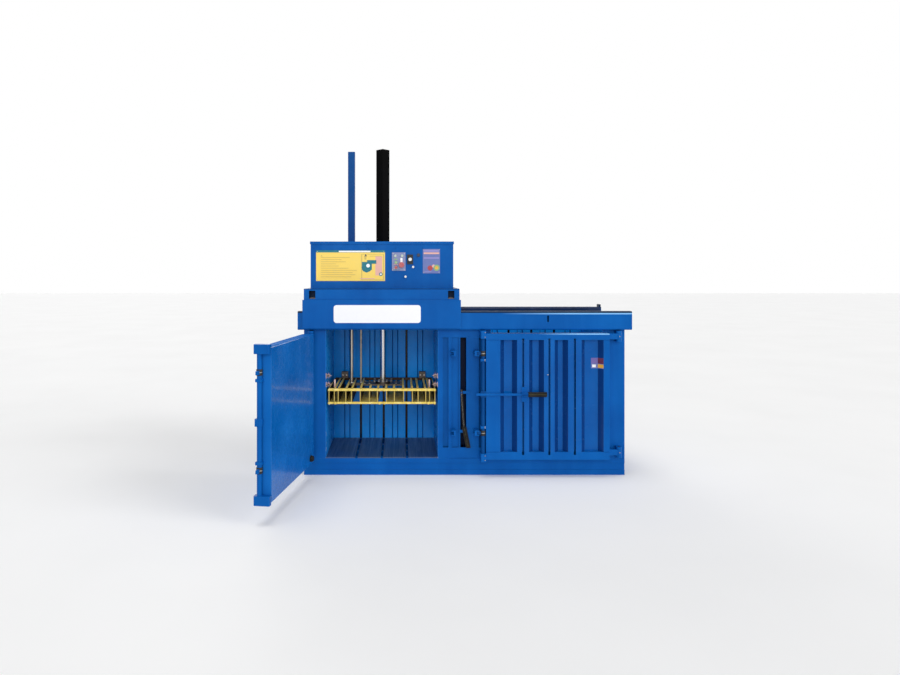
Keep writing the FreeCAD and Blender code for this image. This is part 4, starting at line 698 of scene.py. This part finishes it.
def door_label():
    """A small sticker bent over the crease of the right door's last recess."""
    keys = ["plate_lilac", "deep_lilac", "white", "orange", "maroon"]
    crease = Vector((1.2945, -0.513, 1.056))
    tall = 0.102
    slope = Vector((0.042, -0.050, 0)).normalized()
    away = {"floor": Vector((-1, 0, 0)), "slope": slope}
    outward = {"floor": Vector((0, -1, 0)), "slope": Vector((slope.y, -slope.x, 0))}
    # Side of the crease, start and end along it, foot and head as shares, colour, layer.
    fields = [
        ("floor", 0, 0.066, 0, 1, "plate_lilac", 1),
        ("floor", 0, 0.066, 0.46, 1, "deep_lilac", 2),
        ("floor", 0.02, 0.055, 0.1, 0.36, "white", 2),
        ("slope", 0, 0.064, 0, 1, "plate_lilac", 1),
        ("slope", 0, 0.064, 0.46, 1, "maroon", 2),
        ("slope", 0, 0.064, 0.06, 0.4, "orange", 2),
    ]
    mesh = bmesh.new()
    for side, start, end, foot, head, key, layer in fields:
        spots = ((start, foot), (end, foot), (end, head), (start, head))
        corners = [crease + away[side] * along + Vector((0, 0, up * tall)) for along, up in spots]
        lift = outward[side] * INK * layer
        front = [mesh.verts.new(corner + lift) for corner in corners]
        back = [mesh.verts.new(corner) for corner in corners]
        rims = [[front[i], front[i - 1], back[i - 1], back[i]] for i in range(4)]
        for ring in [front, back[::-1], *rims]:
            mesh.faces.new(ring).material_index = keys.index(key)
    bmesh.ops.recalc_face_normals(mesh, faces=mesh.faces)
    piece("door_label", mesh, keys, "right_door")


def plate_rivets():
    """A rivet in each corner of the three plates on the cabinet."""
    radius, proud = 0.0035, 0.002
    mesh = bmesh.new()
    for node, inset in (("guide_plate", 0.012), ("side_label", 0.010), ("control_panel", 0.009)):
        low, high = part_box(node)
        for x in (low[0] + inset, high[0] - inset):
            for z in (low[2] + inset, high[2] - inset):
                add_round(mesh, (x, low[1] - proud / 2, z), radius=radius, depth=proud, axis="y",
                          sides=14, soft=0.0008)
    piece("plate_rivets", mesh, ["steel"], "frame", smooth=True)


# ---------------------------------------------------------------- head and cabinet


def cabinet_screws():
    """Round-head screws round the edges of the cabinet's four sides."""
    low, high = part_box("cabinet_walls")
    inset, radius, proud = 0.03, 0.006, 0.003
    gaps_wide, gaps_deep = 5, 3
    head = {"radius": radius, "depth": proud, "sides": 16, "soft": 0.001}
    mesh = bmesh.new()
    for z in (low[2] + inset, high[2] - inset * 2):
        for step in range(gaps_wide + 1):
            x = low[0] + inset + step * (high[0] - low[0] - 2 * inset) / gaps_wide
            for y in (low[1] - proud / 2, high[1] + proud / 2):
                add_round(mesh, (x, y, z), axis="y", **head)
        for step in range(gaps_deep + 1):
            y = low[1] + inset + step * (high[1] - low[1] - 2 * inset) / gaps_deep
            for x in (low[0] - proud / 2, high[0] + proud / 2):
                add_round(mesh, (x, y, z), axis="x", **head)
    piece("cabinet_screws", mesh, ["blue"], "frame", smooth=True)


def cabinet_back():
    """Two columns of pressed cooling louvres on the back of the cabinet, each over a thin dark
    strip of painted shade where its opening would be.
    """
    rear, bottom, pitch, rows = 0.4105, 1.95, 0.026, 9
    hood_half, hood_deep, hood_tall = 0.11, 0.007, 0.009
    slit_half, slit_deep, slit_tall = 0.105, 0.0006, 0.004
    mesh = bmesh.new()
    for x in (-1.15, -0.47):
        for row in range(rows):
            z = bottom + row * pitch
            add_slab(mesh, (x - hood_half, rear, z),
                     (x + hood_half, rear + hood_deep, z + hood_tall), 0, soft=0.003)
            # A thin dark strip under each hood: painted shade in place of the louvre's opening.
            add_slab(mesh, (x - slit_half, rear, z - slit_tall),
                     (x + slit_half, rear + slit_deep, z), 1)
    piece("cabinet_louvres", mesh, ["blue", "ink"], "frame", smooth=True)


def white_plugs():
    """Two small plugs in the cabinet's front."""
    y = -0.4175
    mesh = bmesh.new()
    for x, z in ((-0.502, 2.043), (-0.577, 1.947)):
        add_round(mesh, (x, y, z), radius=0.0115, depth=0.005, axis="y", sides=28, soft=0.0018)
    piece("white_plugs", mesh, ["pale"], "frame", smooth=True)


# ---------------------------------------------------------------- platen


def platen_middle():
    """The platen's middle along X."""
    low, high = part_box("platen_frame")
    return (low[0] + high[0]) / 2


def platen_knobs():
    """Round ends and studs on the platen's two front bars."""
    low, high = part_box("platen_frame")
    middle, half = platen_middle(), (high[0] - low[0]) / 2
    y, lower_bar, upper_bar = low[1] - 0.004, low[2] + 0.0095, high[2] - 0.012
    mesh = bmesh.new()
    for z in (lower_bar, upper_bar):
        for share in (-0.985, -0.87, -0.045, 0.045, 0.87, 0.985):
            add_round(mesh, (middle + share * half, y, z), radius=0.014, depth=0.010, axis="y",
                      sides=20, soft=0.003)
    piece("platen_knobs", mesh, ["yellow"], "platen", smooth=True)


def fin_ridges():
    """Flat bars with softened edges along the tops of the platen's fins."""
    low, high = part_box("platen_frame")
    middle = platen_middle()
    half, front, bottom, top = 0.011, low[1] + 0.012, high[2] - 0.003, high[2] + 0.006
    at_hub, past_hub = -0.19, 0.29  # the short fins end before the hub
    fins = [(0.040, at_hub), (0.118, at_hub)]
    fins += [(away, past_hub) for away in (0.209, 0.296, 0.352, 0.427, 0.465)]
    mesh = bmesh.new()
    for away, rear in fins:
        for x in (middle - away, middle + away):
            add_slab(mesh, (x - half, front, bottom), (x + half, rear, top), soft=0.003)
    piece("fin_ridges", mesh, ["fins"], "platen", smooth=True)


def post_sleeves():
    """Pale sleeves on the platen's two front posts."""
    y, z = -0.370, 0.886
    mesh = bmesh.new()
    for away in (-0.470, 0.470):
        add_round(mesh, (platen_middle() + away, y, z), radius=0.0105, depth=0.080, axis="z",
                  sides=20, soft=0.0015)
    piece("post_sleeves", mesh, ["post"], "platen", smooth=True)


def platen_bolts():
    """Clamp rings at the rods' feet, and hex bolts on the hub and the shoes."""
    top, bolt_rows, rods_y = 0.842, (-0.125, 0.025), -0.05
    shoe_face, shoe_z, shoe_bolts = 0.2585, top + 0.035, (-0.02, 0.02)
    steel, dark = 0, 1
    mesh = bmesh.new()
    for x, radius in ((-1.135, 0.030), (-1.038, 0.020)):
        add_round(mesh, (x, rods_y, top + 0.004), radius=radius, depth=0.008, axis="z",
                  material=steel, sides=32, soft=0.002)
    low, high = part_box("platen_hub")
    hub_inset = 0.022
    for x in (low[0] + hub_inset, -0.95, -0.67, high[0] - hub_inset):
        for y in bolt_rows:
            add_round(mesh, (x, y, top + 0.0045), radius=0.0115, depth=0.009, axis="z",
                      material=steel, sides=6, soft=0.001)
            add_round(mesh, (x, y, top + 0.0095), radius=0.006, depth=0.003, axis="z",
                      material=steel, sides=12)
            add_round(mesh, (x, y, top + 0.0005), radius=0.015, depth=0.002, axis="z",
                      material=dark, sides=20)
    for x in (-0.897, -0.723):
        for y in bolt_rows:
            add_round(mesh, (x, y, top + 0.028), radius=0.012, depth=0.020, axis="z",
                      material=steel, sides=6, soft=0.001)
    for shoe in (-1.23, -0.39):
        for offset in shoe_bolts:
            add_round(mesh, (shoe + offset, shoe_face, shoe_z), radius=0.008, depth=0.004,
                      axis="y", material=steel, sides=6)
    piece("platen_bolts", mesh, ["steel", "dark"], "platen")


# ---------------------------------------------------------------- frame and bays


def frame_welds():
    """Welds where the end columns meet the base and the front rail, and along the pier's foot."""
    front, base, rail = -0.4505, 0.164, 1.429
    column_inner, column_edge, column_outer, side_face = 1.37, 1.535, 1.572, 1.5755
    post_near, post_far, pier_half = 0.352, 0.44, 0.13
    mesh = bmesh.new()
    for side in (-1, 1):
        weld(mesh, (side * column_edge, front, base), (side * column_outer, front, base))
        weld(mesh, (side * column_inner, front, rail), (side * column_outer, front, rail))
        for start, end in ((-post_far, -post_near), (post_near, post_far)):
            weld(mesh, (side * side_face, start, base), (side * side_face, end, base))
    weld(mesh, (-pier_half, front, base), (pier_half, front, base))
    piece("frame_welds", mesh, ["blue"], "frame", smooth=True)


def claw_teeth():
    """Spiked stars that hold the bale back, on foot plates at the front of the bay walls."""
    y, heights, stand_off = -0.4345, (0.887, 0.972), 0.026
    foot_thick, foot_half, arm_thick, arm_half = 0.005, 0.026, 0.003, 0.008
    spokes, short, long, root, tip = 8, 0.024, 0.030, 0.0055, 0.001
    pale, dark = 0, 1
    mesh = bmesh.new()
    for wall in (-BAY_OUTER, -BAY_INNER, BAY_INNER, BAY_OUTER):
        way = 1 if wall in (-BAY_OUTER, BAY_INNER) else -1
        x, foot = wall + way * stand_off, wall + way * foot_thick
        for z in heights:
            add_slab(mesh, (min(wall, foot), y - 0.012, z - foot_half),
                     (max(wall, foot), y + 0.009, z + foot_half), pale, soft=0.001)
            add_slab(mesh, (min(wall, x), y - arm_thick, z - arm_half),
                     (max(wall, x), y + arm_thick, z + arm_half), dark)
            for spoke in range(spokes):
                turn = Matrix.Rotation(spoke * 2 * math.pi / spokes, 4, "Y")
                reach = short if spoke % 2 else long
                place = Matrix.Translation((x, y, z)) @ turn @ Matrix.Translation((0, 0, reach / 2))
                bmesh.ops.create_cone(mesh, cap_ends=True, segments=8, radius1=root,
                                      radius2=tip, depth=reach, matrix=place)
            add_round(mesh, (x, y - 0.004, z), radius=0.010, depth=0.005, axis="y",
                      material=dark, sides=6)
    piece("claw_teeth", mesh, ["post", "dark"], "frame")


# ---------------------------------------------------------------- doors and levers
# Both doors are drawn shut. Side is -1 for the left door, which stands open at rest, and 1 for
# the right one.

LEFT_OPEN = math.radians(-98.9)
LEFT_PIN = Vector((-1.5, -0.51, 0))
LEFT_TURN = (Matrix.Translation(LEFT_PIN) @ Matrix.Rotation(LEFT_OPEN, 4, "Z")
             @ Matrix.Translation(-LEFT_PIN))
LOCK_X, LOCK_Y = 0.174, -0.541  # the lock rods' axes
STILE_FRONT = -0.5635


def door_piece(name, mesh, side, keys, body):
    """A smooth piece that rides on a door or on its lock rod."""
    if side < 0:
        bmesh.ops.transform(mesh, matrix=LEFT_TURN, verts=mesh.verts)
    piece(name, mesh, keys, body, smooth=True)


def door_details(door, side):
    """Bolts on the lock rod's bearings, grease nipples on the hinges, welds, and a padlock eye."""
    blue, steel = 0, 1
    mesh = bmesh.new()
    bearing_x, outer, inner = side * 0.189, (-0.5835, 0.022), (-0.5685, 0.006)
    for z, (front, offset) in ((0.199, outer), (0.491, inner), (1.141, inner), (1.387, outer)):
        for way in (-offset, offset):
            add_round(mesh, (bearing_x, front, z + way), radius=0.005, depth=0.003, axis="y",
                      material=steel, sides=6)
    hinge_x, hinge_front, strap_x, strap_front = side * 1.5, -0.5395, side * 1.394, -0.5335
    strap_half = 0.026
    for z in (0.240, 1.367):
        add_round(mesh, (hinge_x, hinge_front, z), radius=0.005, depth=0.006, axis="y",
                  material=steel, sides=10, soft=0.001)
        weld(mesh, (strap_x, strap_front, z - strap_half), (strap_x, strap_front, z + strap_half))
    for z in (0.253, 1.336):
        for near, far in ((0.204, 0.330), (1.344, 1.392)):
            weld(mesh, (side * near, STILE_FRONT, z), (side * far, STILE_FRONT, z))
    eye_x, eye_half = side * 0.786, 0.017
    add_slab(mesh, (eye_x - eye_half, -0.5665, 0.994), (eye_x + eye_half, -0.563, 1.008),
             blue, soft=0.001)
    add_round(mesh, (side * 0.797, -0.5685, 1.001), radius=0.0055, depth=0.005, axis="y",
              material=steel, sides=16, soft=0.001)
    door_piece(f"{door}_details", mesh, side, ["blue", "steel"], door)


def door_buffer(door, side):
    """A rubber dome inside the door that keeps it off the floor plate's edge."""
    _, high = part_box("right_door_panel")
    x, z, deep = side * 1.285, 0.236, 0.032
    mesh = bmesh.new()
    add_round(mesh, (x, high[1] + deep / 2, z), radius=0.024, depth=deep, axis="y", sides=32,
              soft=0.008, top=0.032)
    door_piece(f"{door}_buffer", mesh, side, ["rubber"], door)


def lock_collars(lock, side):
    """Dark collars where each tongue is keyed to its rod, each with a bright ring."""
    mesh = bmesh.new()
    for z in (0.434, 1.204):
        centre = (side * LOCK_X, LOCK_Y, z)
        add_round(mesh, centre, radius=0.025, depth=0.050, axis="z", material=0, sides=28,
                  soft=0.002)
        add_round(mesh, centre, radius=0.026, depth=0.006, axis="z", material=1, sides=28,
                  soft=0.001)
    door_piece(f"{lock}_collars", mesh, side, ["plastic_black", "steel"], lock)


def seam(name, start, end, wide, y, key, body):
    """A thin straight strip on a face that looks along Y, between two points of X and Z."""
    thick = 0.0007
    run = Vector((end[0] - start[0], 0, end[1] - start[1]))
    middle = Vector(((start[0] + end[0]) / 2, y - thick / 2, (start[1] + end[1]) / 2))
    turn = run.to_track_quat("Z", "Y").to_matrix().to_4x4()
    mesh = bmesh.new()
    bmesh.ops.create_cube(mesh, size=1, matrix=Matrix.Translation(middle) @ turn
                          @ Matrix.Diagonal((wide, thick, run.length, 1)))
    piece(name, mesh, [key], body)


def grip_seams():
    """The moulding seams of the two grips, and a painted highlight along the parked lever."""
    seam("grip_seam", start=(0.612, 0.811), end=(0.780, 0.811), wide=0.005, y=-0.5855,
         key="olive", body="right_lock")
    seam("spare_grip_seam", start=(-0.003, 0.466), end=(0.036, 0.282), wide=0.005, y=-0.471,
         key="olive", body="frame")
    # A painted highlight along the parked lever.
    seam("lever_highlight", start=(-0.032, 0.832), end=(-0.007, 0.480), wide=0.006, y=-0.467,
         key="pale", body="frame")


frame_welds()
door_details("left_door", -1)
door_details("right_door", 1)
door_buffer("left_door", -1)
door_buffer("right_door", 1)
white_plugs()
claw_teeth()
post_sleeves()
lock_collars("left_lock", -1)
lock_collars("right_lock", 1)
grip_seams()
platen_bolts()
cabinet_back()
guide_print()
label_print()
panel_print()
door_label()
plate_rivets()
cabinet_screws()
platen_knobs()
fin_ridges()

# ---------------------------------------------------------------- floor, light and camera


def floor():
    """A wide pale studio floor."""
    reach = 60
    corners = [(-reach, -reach, 0), (reach, -reach, 0), (reach, reach, 0), (-reach, reach, 0)]
    data = bpy.data.meshes.new("floor")
    data.from_pydata(corners, [], [(0, 1, 2, 3)])
    thing = bpy.data.objects.new("floor", data)
    bpy.context.scene.collection.objects.link(thing)
    s = Shader("pale_floor")
    tone = s.ramp(s.noise(0.6, 3), [(0.3, STUDIO_LOW), (0.7, STUDIO_HIGH)])
    rough = s.span(s.noise(2, 3), 0.3, 0.7, 0.8, 0.9)
    data.materials.append(s.finish(tone, rough, specular=0.1))


def sun(name, heading, strength):
    """A broad lamp that shines along a heading."""
    lamp = bpy.data.lights.new(name, "SUN")
    lamp.energy = strength
    lamp.angle = math.radians(35)
    thing = bpy.data.objects.new(name, lamp)
    thing.rotation_euler = Vector(heading).to_track_quat("-Z", "Y").to_euler()
    bpy.context.scene.collection.objects.link(thing)


def world(strength):
    """White to the camera, in reflections and through glass; a softer dome for everything else."""
    dome = bpy.data.worlds.new("studio")
    bpy.context.scene.world = dome
    dome.use_nodes = True
    tree = dome.node_tree
    background = tree.nodes["Background"]
    path = tree.nodes.new("ShaderNodeLightPath")
    seen = path.outputs["Is Camera Ray"]
    for ray in ("Is Glossy Ray", "Is Transmission Ray"):
        either = tree.nodes.new("ShaderNodeMath")
        either.operation = "MAXIMUM"
        tree.links.new(seen, either.inputs[0])
        tree.links.new(path.outputs[ray], either.inputs[1])
        seen = either.outputs[0]
    mix = tree.nodes.new("ShaderNodeMix")
    share, unseen_light, seen_light = mix.inputs[0], mix.inputs[2], mix.inputs[3]
    unseen_light.default_value = strength
    seen_light.default_value = 1.0
    tree.links.new(seen, share)
    tree.links.new(mix.outputs[0], background.inputs["Strength"])
    background.inputs["Color"].default_value = (1, 1, 1, 1)


def camera():
    """The photograph's view. The camera looks level along Y, and the shifts frame the object."""
    lens = bpy.data.cameras.new("camera")
    lens.sensor_width = 36
    lens.lens = 27.68
    lens.shift_x = 0.0556
    lens.shift_y = -0.0717
    thing = bpy.data.objects.new("camera", lens)
    thing.location = (-0.632, -7.25, 1.984)
    thing.rotation_euler = (math.pi / 2, 0, 0)
    bpy.context.scene.collection.objects.link(thing)
    bpy.context.scene.camera = thing


floor()
sun("front", (0.05, 1.0, -0.3), 1.2)
sun("right", (-0.9, 0.45, -0.5), 1.2)
sun("top", (0.1, 0.1, -1.0), 0.9)
sun("back", (0.4, -1.0, -0.4), 0.6)
world(0.32)
camera()
bpy.context.scene.view_settings.view_transform = "Standard"
